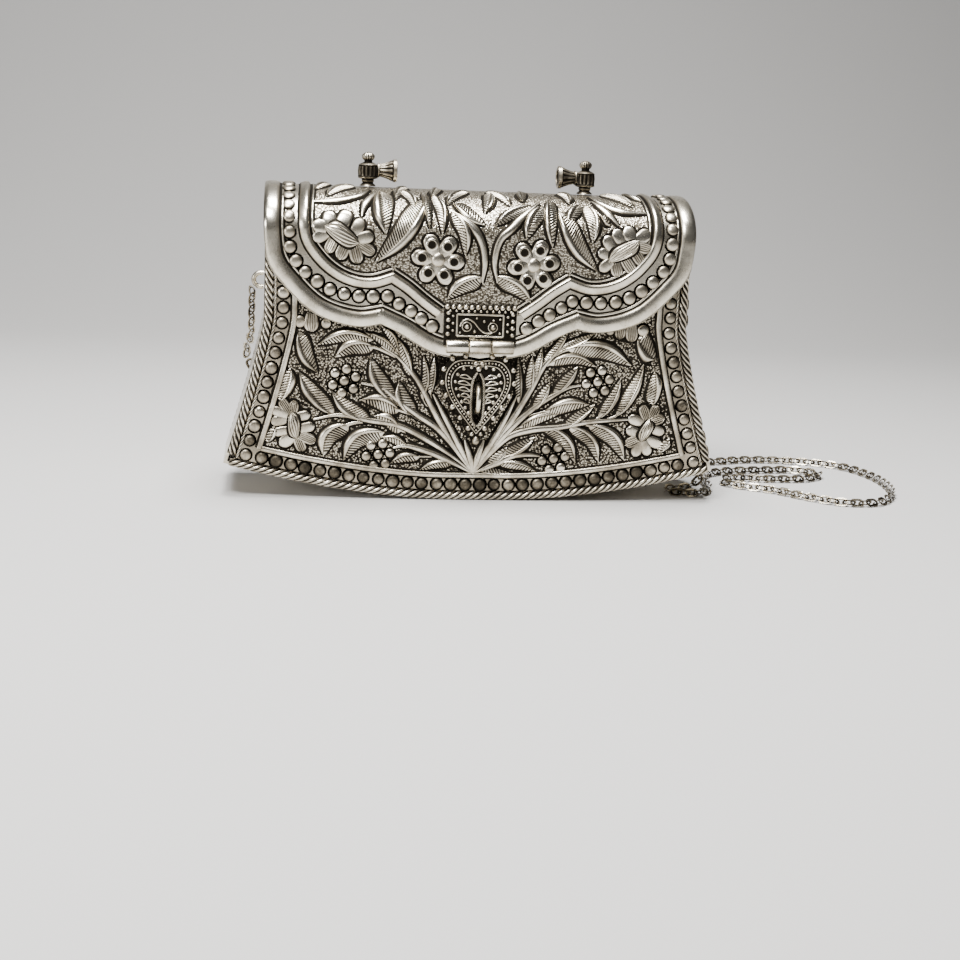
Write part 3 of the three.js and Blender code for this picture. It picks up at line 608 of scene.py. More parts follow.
def matted_ground_material():
    """Ground punched all over with a matting tool: bright grains among blackened pits."""
    material = silver("matted_ground", clouding=0.2, dent=0.00025)
    tree = material.node_tree
    metal = next(node for node in tree.nodes if node.type == "GROUP")
    bump = next(node for node in tree.nodes if node.type == "BUMP")
    recess = next(node for node in tree.nodes if node.type == "ATTRIBUTE")
    connect = tree.links.new
    matting = add_node(tree, "Attribute")
    matting.attribute_name = "matting"
    place = add_node(tree, "TexCoord")
    grain = add_node(tree, "TexVoronoi", [("Scale", GRAIN_SCALE)])
    connect(place.outputs["Object"], grain.inputs["Vector"])
    top = add_node(tree, "MapRange", [
        ("From Min", GRAIN_TOP), ("From Max", GRAIN_FOOT), ("To Min", GRAIN_RUBBED), ("To Max", GRAIN_DARK)])
    connect(grain.outputs["Distance"], top.inputs["Value"])
    punched = add_node(tree, "Math", operation="MULTIPLY")
    connect(top.outputs["Result"], punched.inputs[0])
    connect(matting.outputs["Fac"], punched.inputs[1])
    left = add_node(tree, "Math", operation="SUBTRACT")
    connect(recess.outputs["Fac"], left.inputs[0])
    connect(punched.outputs[0], left.inputs[1])
    connect(left.outputs[0], metal.inputs["Recess"])
    connect(punched.outputs[0], bump.inputs["Height"])
    return material


worn_relief = silver("worn_relief", clouding=0.4, dent=0.00025)
matted_ground = matted_ground_material()

ROOT = (0, 11.6)
STEM_WIDTH = 3.2
# Stems of the front panel from the root, as rows of x, z points.
PANEL_STEMS = [
    [(-9, 24), (-17.5, 38), (-25, 51), (-33, 60), (-40, 64.5)],
    [(-15, 30), (-24, 36), (-32.5, 42), (-39, 47), (-48, 49)],
    [(-6.5, 17), (-19.5, 25.5), (-32, 31.5), (-44.5, 33.5), (-57, 35.5), (-67, 33.5)],
    [(-8.5, 16), (-19, 20.5), (-29.5, 23), (-34, 22)],
    [(10, 26), (18, 39), (24, 50), (28, 58), (34, 64.5), (40, 69)],
    [(14.5, 30.5), (24.5, 40), (32.5, 45.5), (39, 49), (44, 50)],
    [(6.5, 19.5), (14.5, 27.5), (23, 30.5), (35.5, 32), (48, 34.5), (66, 36)],
    [(10.5, 16.5), (17, 19.5), (23.5, 20), (28, 19.5)],
    [(-1.5, 18), (-4, 26)],
    [(1.5, 18), (4, 26)],
    [(-4.5, 20), (-12, 34), (-18, 45)],
    [(4.5, 20), (12, 34), (17, 45)],
]
# Leaves of the front panel: base x, base z, tip x, tip z, width, bow.
PANEL_LEAVES = [
    (-74, 69.5, -66, 53, 6, 1), (-81, 41, -77, 54.5, 6.5, 0), (-59, 36, -73.5, 53, 6.5, -1),
    (-44.5, 33.5, -60, 45, 6, -1), (-43.5, 67, -66, 64.5, 5, 2.5), (-43.5, 64, -59, 59.5, 6, 2),
    (-34.5, 42, -44.5, 59.5, 6.5, -1), (-26, 36, -32.5, 50, 6, -1), (-32, 38, -48, 42, 6, 1),
    (-31, 29.5, -42.5, 35.5, 5, 1), (-53, 31.5, -63, 18, 7, 3), (-38, 28.5, -54.5, 16.5, 7, 3.5),
    (-27.5, 22.5, -39.5, 26.5, 3.5, 1), (-23, 18.5, -35, 15.5, 4, 1), (-8.5, 16, -23, 12.5, 3.6, 1),
    (-86, 23.5, -83, 30.5, 4, 0), (-33, 61, -47, 70, 3, 1), (-33, 62.2, -40.3, 72.8, 3, 1),
    (-27, 52.5, -33.5, 68, 4, 0), (-22, 42.5, -22.5, 61, 3, 1), (-19, 44.6, -18, 60.5, 3, 0),
    (38, 65, 65, 59, 7, -3), (30, 58.5, 50.5, 58, 4.5, -3), (33, 46, 42.5, 58, 4.5, 0),
    (24.5, 39, 31, 51, 4, 0), (29, 38.5, 48, 42, 5.5, -1), (37.5, 32, 50.5, 42, 4, 0),
    (52.5, 36.5, 61, 53, 4.5, 1), (60, 37.5, 70.5, 59.5, 5, 1), (18.5, 31.5, 35, 37.5, 4, -1),
    (29, 31.5, 43.5, 17, 5, -3), (40, 32, 53.5, 17.5, 5, -3), (48.5, 33, 64.5, 18.5, 6, -3),
    (12.5, 18.5, 25.5, 27.5, 4.5, 0), (6.5, 15, 14, 23, 4, 0), (10.5, 16, 27, 12.8, 3.6, -1),
    (67.5, 70.5, 75.5, 61.5, 8, 0), (75.5, 42.5, 75.5, 56.5, 6, 0), (79.5, 22, 83.5, 28, 4, 0),
    (34, 64.5, 49, 72, 3, 0), (28, 58.5, 38, 73, 3, 0), (22, 46, 23, 62, 3.5, 0),
    (18, 42, 17, 61, 3, 0), (24, 50, 27, 66, 3, 0), (2.3, 13.2, 16, 11.8, 3, 0),
]
# Berry clusters: middle x, z, turn of the ring of six.
BERRIES = [(-55, 49.7, 0.35), (-40.2, 19, 0.15), (51.2, 51.7, 0.2), (34, 18.5, 0.2)]
BERRY_RADIUS = 2.1
BERRY_RING = 5
BERRY_HEIGHT = 1.4
MIDDLE_BERRY_HEIGHT = 1.5
# Corner flowers: heart base x, z, tip x, z, width, then lobes of the petals as x, z, radius, veined.
CORNER_FLOWERS = [
    ((-74, 25, -76.6, 36.6, 5.6), [
        (-79.6, 39.8, 2.3, 1), (-75.4, 39, 2.2, 1), (-82.6, 36.6, 2.2, 0), (-82.4, 32.4, 2.4, 0),
        (-81.6, 27.9, 2.1, 0), (-78.6, 24, 2.8, 0), (-70.8, 35, 2.2, 0), (-69, 30.2, 2.3, 0),
        (-68.4, 25, 2.4, 1), (-72.2, 21.9, 2.4, 1)]),
    ((71.2, 26.3, 74.6, 36.6, 5.4), [
        (71.8, 40, 2.4, 1), (76.6, 40, 2.4, 1), (67.6, 36, 2.4, 0), (67, 31, 2.4, 0), (66.8, 26, 2.5, 1),
        (69.6, 22.4, 2.5, 0), (74, 22.8, 2.4, 0), (78, 26, 2.5, 0), (78.6, 36.4, 2.4, 1),
        (79, 31.2, 2.3, 0)]),
]
# Lobes that show from under the flap: x, z, radius.
LOBES = [(-73.6, 73.7, 2.6), (-62.9, 73.2, 2.2), (55.2, 73.2, 2), (69.4, 73.8, 2.6)]
# Wide petals: heart x, z, edge x, z, width.
WIDE_PETALS = [
    (-69, 77, -68.9, 69.6, 6.4), (60, 77, 59.3, 69.9, 5), (64.4, 77, 64.6, 68.8, 5.6),
]
LOBE_HEIGHT = 1.05
WIDE_PETAL_HEIGHT = 1
PUNCHED_TO = 100
GROUND_DARK = 0.34
MARGIN_DARK = 0.28
# Painted shadow of the hasp, darker ground round it: a wedge by its tip, its top, its slope and its greatest
# half width.
WEDGE_TIP = 22
WEDGE_TOP = 62
WEDGE_SLOPE = 0.62
WEDGE_HALF = 18
HASP_SHADOW_DARK = 0.8


def ring_of_six(turn):
    angles = [turn + k * math.pi / 3 for k in range(6)]
    return [(math.cos(angle), math.sin(angle)) for angle in angles]


def lay(bm, face):
    """Bends the flat pattern onto its face."""
    flat = np.array([v.co for v in bm.verts])
    for v, spot in zip(bm.verts, face(*flat.T)):
        v.co = spot


def thicken(bm):
    """Gives a sheet its thickness, its front the second finish of the piece and the rest the third."""
    front = bm.faces[:]
    for face in front:
        face.material_index = 1
    for face in bmesh.ops.solidify(bm, geom=front, thickness=SHEET)["geom"]:
        if isinstance(face, bmesh.types.BMFace):
            face.material_index = 2


def on_front(x, s, h):
    return np.column_stack([x, -FACE - h, s])


def front_panel():
    bm = new_relief()
    dark = bm.verts.layers.float["recess"]
    punched = bm.verts.layers.float["matting"]
    sheet = panel_sheet(bm, PANEL_TOP, along=150, across=84)
    for v in sheet:
        x, z = v.co.x, v.co.y
        inside = abs(x) < half_width(z) - SIDE_LINE and z > base_height(x) + BASE_LINE
        ground = inside and z < PUNCHED_TO
        # Painted shadow: the ground round the hasp gets a dark tarnish value that stands in for the hasp's
        # shade.
        in_hasp_shadow = z < WEDGE_TOP and abs(x) < min(WEDGE_HALF, WEDGE_SLOPE * (z - WEDGE_TIP))
        v[dark] = HASP_SHADOW_DARK if in_hasp_shadow else GROUND_DARK if ground else MARGIN_DARK
        v[punched] = 1 if ground else 0
    thicken(bm)
    side = side_run(SIDE_BEADS, BASE_BEADS, BEADS_FROM, steps=24)
    for points in (side, flip(side)):
        bead_row(bm, points, BEAD_PITCH, BEAD_RADIUS, BEAD_HEIGHT, SIDE_DULL)
    base = base_run(SIDE_BEADS, BASE_BEADS, steps=48)
    bead_row(bm, base, BEAD_PITCH, BEAD_RADIUS, BEAD_HEIGHT, BASE_DULL, ends=(False, False))
    side = side_run(SIDE_LINE, BASE_LINE, LINE_TOP, steps=30)
    for points in (side, flip(side)):
        path = curve_through(points, steps=90)
        chased_strip(bm, path, LINE_SECTION, LINE_WIDTH, RELIEF, even_taper)
    base = base_run(SIDE_LINE, BASE_LINE, steps=48)
    path = curve_through(base, steps=150)
    chased_strip(bm, path, LINE_SECTION, LINE_WIDTH, RELIEF, even_taper)
    stems = []
    for stem in PANEL_STEMS:
        points = [ROOT, *stem]
        stems.append(curve_through(points, round(run_length(points))))
        chased_strip(bm, stems[-1], STEM_SECTION, STEM_WIDTH, RELIEF, stem_taper)
    for x0, z0, x1, z1, width, bow in PANEL_LEAVES:
        leaf(bm, x0, z0, x1, z1, LEAF_FULL * width, bow, stems=stems)
    for x, z, turn in BERRIES:
        boss(bm, x, z, BERRY_RADIUS, MIDDLE_BERRY_HEIGHT)
        for out_x, out_z in ring_of_six(turn):
            boss(bm, x + BERRY_RING * out_x, z + BERRY_RING * out_z, BERRY_RADIUS, BERRY_HEIGHT)
    for heart, lobes in CORNER_FLOWERS:
        flower(bm, heart, lobes)
    for x, z, radius in LOBES:
        boss(bm, x, z, radius, LOBE_HEIGHT)
    for x0, z0, x1, z1, width in WIDE_PETALS:
        petal(bm, x0, z0, x1, z1, width, WIDE_PETAL_HEIGHT, VEINED_PETAL)
    lay(bm, on_front)
    materials = [worn_relief, matted_ground, plain_sheet]
    return finish(bm, "front_relief", "case", materials, ["front_panel"])


front_panel()

# Rope edging: five strands of drawn wire twisted together and soldered over each seam, in three lengths to
# a face: left, base and right. A thinner wire, twisted the other way, lies inside it along both sides.
ROPE_RADIUS = 2
ROPE_Y = 23.6
ROPE_STRANDS = 5
ROPE_LAY = -15
ROPE_STEP = 0.42
ROPE_TOP = PANEL_TOP - 1.5
INNER_RADIUS = 0.6
INNER_INSET = 4.7
INNER_Y = 25.2
INNER_STRANDS = 4
INNER_LAY = 7.5
INNER_TOP = PANEL_TOP - 2.5
WIRE_RIDGE = 0.3


def bend_along(bm, path, step):
    """Bends a straight length, made up the Z axis from the origin, along a path in space."""
    path = np.array(path, float)
    along = directions(path)
    side = np.cross(along[0], (0, 1, 0) if abs(along[0][1]) < 0.9 else (1, 0, 0))
    sides = []
    for way in along:
        side = side - way * side.dot(way)
        side = side / np.linalg.norm(side)
        sides.append(side)
    for v in bm.verts:
        k = min(len(path) - 1, max(0, round(v.co.z / step)))
        spot = path[k] + sides[k] * v.co.x + np.cross(along[k], sides[k]) * v.co.y
        v.co = spot


def close_wire(part):
    """Fills both ends of a wire, and turns its faces outwards."""
    bmesh.ops.holes_fill(part, edges=part.edges[:], sides=0)
    bmesh.ops.recalc_face_normals(part, faces=part.faces)


def twisted_wire(points, radius, strands, lay_length, step):
    """Strands of wire twisted round each other along a line, dark in the grooves between them."""
    part = new_relief()
    dark = part.verts.layers.float["recess"]
    count = max(2, round(run_length(points) / step))
    path = curve_through(points, count)
    ring = bmesh.ops.create_circle(part, cap_ends=False, radius=radius, segments=6 * strands)["verts"]
    for v in ring:
        bulge = abs(math.cos(strands / 2 * math.atan2(v.co.y, v.co.x)))
        v.co *= 1 - WIRE_RIDGE * (1 - bulge)
    bmesh.ops.spin(
        part, geom=part.verts[:] + part.edges[:], axis=(0, 0, 1), cent=(0, 0, 0), dvec=(0, 0, step),
        angle=2 * math.pi * count * step / lay_length, steps=count)
    for v in part.verts:
        sunk = 1 - math.hypot(v.co.x, v.co.y) / radius
        v[dark] = min(1, max(0, 1.1 * sunk / WIRE_RIDGE)) ** 1.5
    bend_along(part, path, step)
    close_wire(part)
    return part


twisted_silver = silver("twisted_silver", clouding=0.3, dent=0.0002)


def rope(name, outer, inner, y_sign):
    bm = new_relief()
    points = [(x, y_sign * ROPE_Y, z) for x, z in outer]
    join_to(bm, twisted_wire(points, ROPE_RADIUS, ROPE_STRANDS, ROPE_LAY, ROPE_STEP))
    if inner:
        points = [(x, y_sign * INNER_Y, z) for x, z in inner]
        join_to(bm, twisted_wire(points, INNER_RADIUS, INNER_STRANDS, INNER_LAY, ROPE_STEP))
    return finish(bm, name + "_twist", "case", [twisted_silver], [name])


def ropes():
    outer = side_run(ROPE_RADIUS, ROPE_RADIUS, ROPE_TOP, steps=30)[:-1]
    inner = side_run(INNER_INSET, INNER_INSET, INNER_TOP, steps=30)
    base = base_run(ROPE_RADIUS, ROPE_RADIUS, steps=60)
    for face, y_sign in (("front", -1), ("back", 1)):
        rope(f"rope_{face}_left", flip(outer), flip(inner), y_sign)
        rope(f"rope_{face}_base", base, None, y_sign)
        rope(f"rope_{face}_right", outer, inner, y_sign)


ropes()

# Hinge pin: a plain wire of white metal, drawn to size and pushed through the five knuckles of the back
# hinge. It is cut flush at both ends, and the flap turns on it.
HINGE_PIN = 0.9
drawn_wire = silver("drawn_wire", clouding=0.42, dent=0.0001)


def hinge_pin():
    bm = new_relief()
    rod(bm, -HINGE_HALF, HINGE_HALF, HINGE_Y, HINGE_Z, HINGE_PIN, sides=16)
    return finish(bm, "hinge_wire", "case", [drawn_wire], ["hinge_pin"])


hinge_pin()

# Staple and eyelets: half rings of round wire soldered by their legs, one on the front panel that stands
# through the hasp, and one on each side of the gusset that holds an end of the chain.
STAPLE_Z = 44
STAPLE_RADIUS = 5.6
STAPLE_LEG = 3
EYELET_Z = 88
EYELET_RADIUS = 2.9
EYELET_LEG = 1.2
RING_WIRE = 1
SEAT = 0.3


def arch(place, radius, leg):
    """A half ring of wire on two straight legs: place turns a reach out and a height into a point."""
    turns = np.linspace(-math.pi / 2, math.pi / 2, 25)
    points = [place(0, -radius)]
    points += [place(leg + radius * math.cos(turn), radius * math.sin(turn)) for turn in turns]
    points += [place(0, radius)]
    part = new_relief()
    bmesh.ops.create_circle(part, cap_ends=True, radius=RING_WIRE, segments=14)
    bmesh.ops.spin(
        part, geom=part.verts[:] + part.edges[:] + part.faces[:], axis=(0, 0, 1), cent=(0, 0, 0),
        dvec=(0, 0, 1), angle=0, steps=len(points) - 1)
    bend_along(part, points, 1)
    close_wire(part)
    return part


def staple_place(out, up):
    return (0, -FACE - SEAT - out, STAPLE_Z + up)


staple = arch(staple_place, STAPLE_RADIUS, STAPLE_LEG)
finish(staple, "staple_wire", "case", [drawn_wire], ["staple"])


def eyelet(name, side):
    wall = half_width(EYELET_Z - EYELET_RADIUS - RING_WIRE) + SEAT

    def place(out, up):
        return (side * (wall + out), 0, EYELET_Z + up)

    made = arch(place, EYELET_RADIUS, EYELET_LEG)
    finish(made, name + "_wire", "case", [drawn_wire], [name])


eyelet("eyelet_left", -1)
eyelet("eyelet_right", 1)

# Chain: oval links of round wire, each turned a quarter against the next and closed by hand. It goes from a
# jump ring at the left eyelet down behind the case, lies on the floor in a loop to the right, and goes back
# up to a jump ring at the right eyelet.
LINK_HALF = 2.6
LINK_WIDE = 1.6
LINK_WIRE = 0.62
LINK_PITCH = 3.5
LINK_DARK = 0.7
JUMP_RADIUS = 2.6
JUMP_WIRE = 0.6
JUMP_DROP = 2.6
JUMP_BACK = 0.3
LIE = 1.9
# Way of the chain down from the left eyelet: x, y, z.
CHAIN_DOWN = [
    (-93.2, 0.5, 82.8), (-93.4, 8, 73), (-93.6, 16, 63), (-95.4, 25, 54), (-92, 31, 45),
    (-86, 33.5, 35), (-79, 35, 21), (-73.5, 37, 9.5), (-68, 39, 3.6),
]
# Way of the chain along the floor: x, y.
CHAIN_LYING = [
    (-61, 41.5), (-52, 44), (-20, 47), (30, 48), (80, 50), (122, 57), (147, 65), (172, 63), (189, 52),
    (196, 32), (196, 10), (190, -12), (178, -27), (163, -28), (150, -18), (138, -4), (125, 5), (119.5, 13),
    (126, 21), (144, 20), (162, 22), (171, 31), (164, 41), (145, 40), (127, 36), (116, 28), (111, 14),
    (109, -2), (104, -11), (95, -13), (89, -9), (91, -3.4), (98, -1.4),
]
# Way of the chain up to the right eyelet: x, y, z.
CHAIN_UP = [
    (103.6, 0, 4.2), (106.3, 0, 9), (106.8, 0, 16), (104.6, 0, 25), (98.4, 0, 44), (94.9, 0, 56),
    (93.3, 0, 70), (93.2, 0.5, 82.8),
]
CHAIN_ROUTE = CHAIN_DOWN + [(x, y, LIE) for x, y in CHAIN_LYING] + CHAIN_UP


def link(half, wide, wire, around=14, sides=6):
    """One link in the XZ plane, long up the Z axis."""
    part = new_relief()
    dark = part.verts.layers.float["recess"]
    turn = Matrix.Translation((wide, 0, 0)) @ Matrix.Rotation(math.pi / 2, 4, "X")
    bmesh.ops.create_circle(part, cap_ends=False, radius=wire, segments=sides, matrix=turn)
    bmesh.ops.spin(
        part, geom=part.verts[:] + part.edges[:], axis=(0, 1, 0), cent=(0, 0, 0), angle=2 * math.pi,
        steps=around, use_merge=True)
    for v in part.verts:
        out = math.hypot(v.co.x, v.co.z) - wide
        v[dark] = max(0, -out / wire) * LINK_DARK
        v.co.z += (half - wide) * max(-1, min(1, 3 * v.co.z / wide))
    bmesh.ops.recalc_face_normals(part, faces=part.faces)
    return part


def chain():
    bm = new_relief()
    count = round(run_length(curve_through(CHAIN_ROUTE, steps=900)) / LINK_PITCH)
    path = curve_through(CHAIN_ROUTE, count)
    along = np.gradient(path, axis=0)
    for k, (spot, way) in enumerate(zip(path, along)):
        part = link(LINK_HALF, LINK_WIDE, LINK_WIRE)
        turn = Vector(way).to_track_quat("Z", "Y").to_matrix().to_4x4()
        roll = Matrix.Rotation(math.pi / 4 + (k % 2) * math.pi / 2, 4, "Z")
        bmesh.ops.transform(part, matrix=Matrix.Translation(spot) @ turn @ roll, verts=part.verts)
        join_to(bm, part)
    reach = half_width(EYELET_Z) + EYELET_LEG + EYELET_RADIUS
    for side in (-1, 1):
        part = link(JUMP_RADIUS, JUMP_RADIUS, JUMP_WIRE, around=20, sides=8)
        turn = Matrix.Rotation(math.pi / 2, 4, "Z")
        place = Matrix.Translation((side * reach, JUMP_BACK, EYELET_Z - JUMP_DROP))
        bmesh.ops.transform(part, matrix=place @ turn, verts=part.verts)
        join_to(bm, part)
    return finish(bm, "chain_links", "case", [drawn_wire], ["chain"])


chain()

# Flap: one sheet bent over the top of the case on the back hinge, its lower edge cut to scallops. A plain
# turned rim, a bead row and a raised line follow the edge, and a field of leaves, two peonies and two
# daisies is raised over the front, all by the same chasing as the panel below.
LID_HALF = 88.4
LID_FRONT = 27.8
LID_RISE = 17
LID_BACK = 179.4
FLAP_BEAD_RADIUS = 2.65
FLAP_BEAD_PITCH = 5.9
# The flap's beads and ground carry much less tarnish than the panel's: partly lighter tarnish, partly
# painted light for the light from above on the crest.
FLAP_BEAD_DULL = 0.05
FIELD_HALF = 72
FIELD_TOP = 153
FIELD_DARK = 0.07
PLAIN_DARK = 0.06
FLAP_MATTING = 1.1
EDGE_STEP = 1.2
# Edge lines of the flap's right half: x, and s, which is measured up the front and over the crest.
SCALLOP_SIDE = [(88.4, 108), (86.8, 97), (80, 88), (67.5, 77.2), (50, 72.4), (40, 73.7)]
SCALLOP_TIP = [(40, 73.7), (33.4, 70.3), (19.3, 62.6), (0, 59)]
RIM_SIDE = [
    (85.2, 178), (85.2, 150), (85.2, 107), (83.4, 98.5), (77.4, 90.5), (65.8, 80.2), (50, 75.7),
    (39.6, 77.2),
]
RIM_TIP = [(42, 77.7), (31.8, 73.2), (18.6, 66), (0, 62.3)]
BEADS_SIDE = [
    (78.6, 176), (78.6, 140), (78.6, 109), (77.4, 101), (70.4, 92.8), (61, 87), (50, 84.8), (38.2, 85.2),
]
BEADS_TIP = [(38.2, 85.2), (29.2, 79.6), (19.6, 73.4)]
LINE_SIDE = [
    (72, 177), (72, 140), (72, 109), (67.4, 101), (60, 94.4), (52, 91), (44.5, 90.5), (35.8, 93.2),
]
LINE_TIP = [(37.4, 93.4), (30.2, 88.8), (23.6, 83.6), (17, 79)]
# Cross-sections of the rim and the moulded line, in the columns of the other chased strips.
RIM_SECTION = [
    (-1, -0.5, 0, 1, 0), (-1, 0, 0.2, 0.85, 0), (-0.82, 0, 0.7, 0.15, 0), (-0.45, 0, 0.95, 0, 0),
    (0, 0, 1, 0, 0), (0.45, 0, 0.95, 0, 0), (0.82, 0, 0.72, 0, 0), (1, 0, 0.3, 0.1, 0),
    (1.02, 0, -1, 0.3, 0),
]
MOULD_SECTION = [
    (-1, -0.5, 0, 1, 0), (-1, 0, 0.2, 0.9, 0), (-0.82, 0, 0.75, 0.15, 0), (-0.5, 0, 1, 0, 0),
    (-0.1, 0, 0.95, 0, 0), (0.3, 0, 0.72, 0.05, 0), (0.7, 0, 0.5, 0.12, 0), (0.9, 0, 0.32, 0.5, 0),
    (1, 0, 0.1, 1, 0), (1, 0.5, 0, 1, 0),
]
# Raised lines along the edge: run at the side, run at the tip, section, width, height, shift.
EDGE_LINES = [
    (RIM_SIDE, RIM_TIP, RIM_SECTION, 6.4, 1.2, 0),
    (RIM_SIDE, RIM_TIP, STEM_SECTION, 1, 0.5, -4.3),
    (LINE_SIDE, LINE_TIP, MOULD_SECTION, 4.4, RELIEF, 0),
    (LINE_SIDE, LINE_TIP, STEM_SECTION, 0.9, 0.5, -3.4),
]
FLAP_STEM_WIDTH = 1.1 * STEM_WIDTH
# Stems of the flap, as rows of x, s points.
FLAP_STEMS = [
    [(-69, 123.6), (-60, 124.6), (-54, 126.6), (-49, 130), (-46, 136)],
    [(-49.6, 117), (-48.6, 122), (-46, 127.4), (-42.6, 133)],
    [(-13, 121), (-4.6, 114.4), (-0.6, 108), (1, 100), (0.2, 92)],
    [(69, 123.6), (60, 123.8), (54.6, 125.6), (49, 131), (46, 137)],
    [(56, 117), (53, 121), (49.6, 126), (46.4, 131)],
    [(24, 128), (12, 114.5), (7, 109.5), (5, 100.5), (6.6, 92)],
]
# Leaves of the flap: base x, base s, tip x, tip s, width, bow.
FLAP_LEAVES = [
    (-41.5, 134, -39.8, 110.2, 7.8, 0), (-23, 128, -43.6, 98.8, 7.8, -1.5), (-33, 136, -28, 121.5, 4.2, -1),
    (-24, 134, -22, 113, 3.2, 0), (-20, 132, -16.8, 111, 4.4, -1), (-13, 120.5, -7, 102.5, 4.6, -2),
    (-12, 126, 0.5, 115, 5, 0.5), (0, 94, -13.8, 85, 6, 1), (20.8, 125.5, 5, 115.2, 5, 0.5),
    (25.2, 126, 17.6, 110, 6, 0.5), (28.6, 131, 28.6, 106.8, 5, 0.8), (31.4, 123, 47.8, 98, 6.8, 1.5),
    (43.4, 128, 45.3, 109.5, 5.4, -0.9), (41, 128, 34.8, 116.5, 5, 0), (6, 94.5, 20.8, 84.5, 6, -1),
    (49, 122, 52.5, 116.4, 3, 0), (-5, 139, -14.5, 124.5, 4.4, 1), (4, 137, 0.6, 120.5, 4.6, -0.6),
    (3, 140, 11.5, 125.5, 4.4, -1), (-52, 142, -63.5, 128, 5, 1), (-30, 143, -35.5, 127, 4, 1),
    (-17, 143, -20.5, 129, 4, 0), (18, 143, 17, 128.5, 4, 0), (34, 143, 36.5, 128.5, 4.4, -1),
    (52, 143, 63.5, 128, 5, -1), (-62, 146, -68, 134, 4, 0), (62, 146, 68, 134, 4, 0),
]
# Peonies: heart base x, s, tip x, s, width, then lobes of the petals as x, s, radius, veined.
PEONIES = [
    ((-64.6, 112.5, -50.2, 106.2, 7.6), [
        (-62.6, 116, 3, 0), (-56.2, 116.6, 3.1, 0), (-66.6, 112.6, 2.8, 0), (-66.6, 108.4, 2.7, 0),
        (-62.2, 104.2, 2.4, 1), (-57.4, 102, 2.7, 1), (-51.4, 101, 2.9, 1), (-46.4, 103.6, 2.5, 1),
        (-47.4, 108.8, 2.7, 0), (-50.8, 113.4, 2.7, 0)]),
    ((52.2, 102, 64.8, 111.2, 6.8), [
        (60.4, 113.8, 3, 0), (66.8, 113.2, 2.9, 0), (67.4, 108.2, 2.6, 1), (65.2, 103.6, 2.6, 1),
        (61.6, 100, 2.7, 1), (56, 98.6, 2.7, 1), (50.8, 100, 2.5, 0), (50.2, 105.4, 2.5, 0),
        (51.8, 110.2, 2.6, 0), (55.6, 113, 2.6, 0)]),
]
# Daisies: middle x, s, turn of the ring of six petals.
DAISIES = [(-18.3, 100.7, -0.1), (21.2, 99.6, 0.15)]
DAISY_HEART = 3.1
DAISY_HEART_HEIGHT = 1.9
DAISY_EDGE = 10.8
DAISY_PETAL = 6.6
PIT_RING = 6.6
PIT_RADIUS = 2.1
PIT_HEIGHT = 1.45
# Pit punched into each petal of a daisy: share of radius, share of height, recess.
PIT = [
    (1.25, 0.72, 0.1), (1.08, 0.97, 0), (0.9, 1, 0), (0.78, 0.95, 0.5), (0.7, 0.9, 1), (0.35, 0.88, 1),
    (0, 0.88, 0.85),
]
FLAP_TAB_LOW = (HINGE_Y - 0.6, HINGE_Z + 1.2)
FLAP_TAB_HIGH = (HINGE_Y + 0.7, HINGE_Z + 3.6)
# Less clouded than the panel's relief: partly rubbed metal, partly painted light for the light from above on
# the flap.
rubbed_relief_and_painted_light = silver("rubbed_relief_and_painted_light", clouding=0.22, dent=0.00025)
ELLIPSE_TURNS = np.linspace(0, math.pi, 400)
ELLIPSE_RUN = np.column_stack([-LID_FRONT * np.cos(ELLIPSE_TURNS), LID_RISE * np.sin(ELLIPSE_TURNS)])
ELLIPSE_FAR = distances(ELLIPSE_RUN)


def on_flap(x, s, h):
    """Up the flap's flat front, then over its elliptic crest to the back hinge."""
    turn = np.interp(np.maximum(0, s - SPRING_Z), ELLIPSE_FAR, ELLIPSE_TURNS)
    out_y = -np.cos(turn) / LID_FRONT
    out_z = np.sin(turn) / LID_RISE
    size = np.hypot(out_y, out_z)
    y = -LID_FRONT * np.cos(turn) + h * out_y / size
    z = np.minimum(s, SPRING_Z) + LID_RISE * np.sin(turn) + h * out_z / size
    return np.column_stack([x, y, z])


def flap_sheet(bm, along, across):
    """The flap's sheet on its flat pattern, each column of it starting from the scalloped edge."""
    edge = np.vstack([curve_through(SCALLOP_TIP[::-1], 40), curve_through(SCALLOP_SIDE[::-1], 60)])
    line = np.vstack([curve_through(LINE_TIP[::-1], 20), curve_through(LINE_SIDE[::-1], 40)])
    dark = bm.verts.layers.float["recess"]
    punched = bm.verts.layers.float["matting"]
    made, i, j = grid_steps(bm, along, across)
    for v, step, row in zip(made, i, j):
        x = LID_HALF * math.sin(math.pi / 2 * (2 * step / along - 1))
        low = np.interp(abs(x), edge[:, 0], edge[:, 1])
        s = low + (LID_BACK - low) * row / across
        field = abs(x) < FIELD_HALF and np.interp(abs(x), line[:, 0], line[:, 1]) < s < FIELD_TOP
        v.co = (x, s, 0)
        # These low tarnish values also paint the flap lighter, as painted light from above.
        v[dark] = FIELD_DARK if field else PLAIN_DARK
        v[punched] = FLAP_MATTING if field else 0


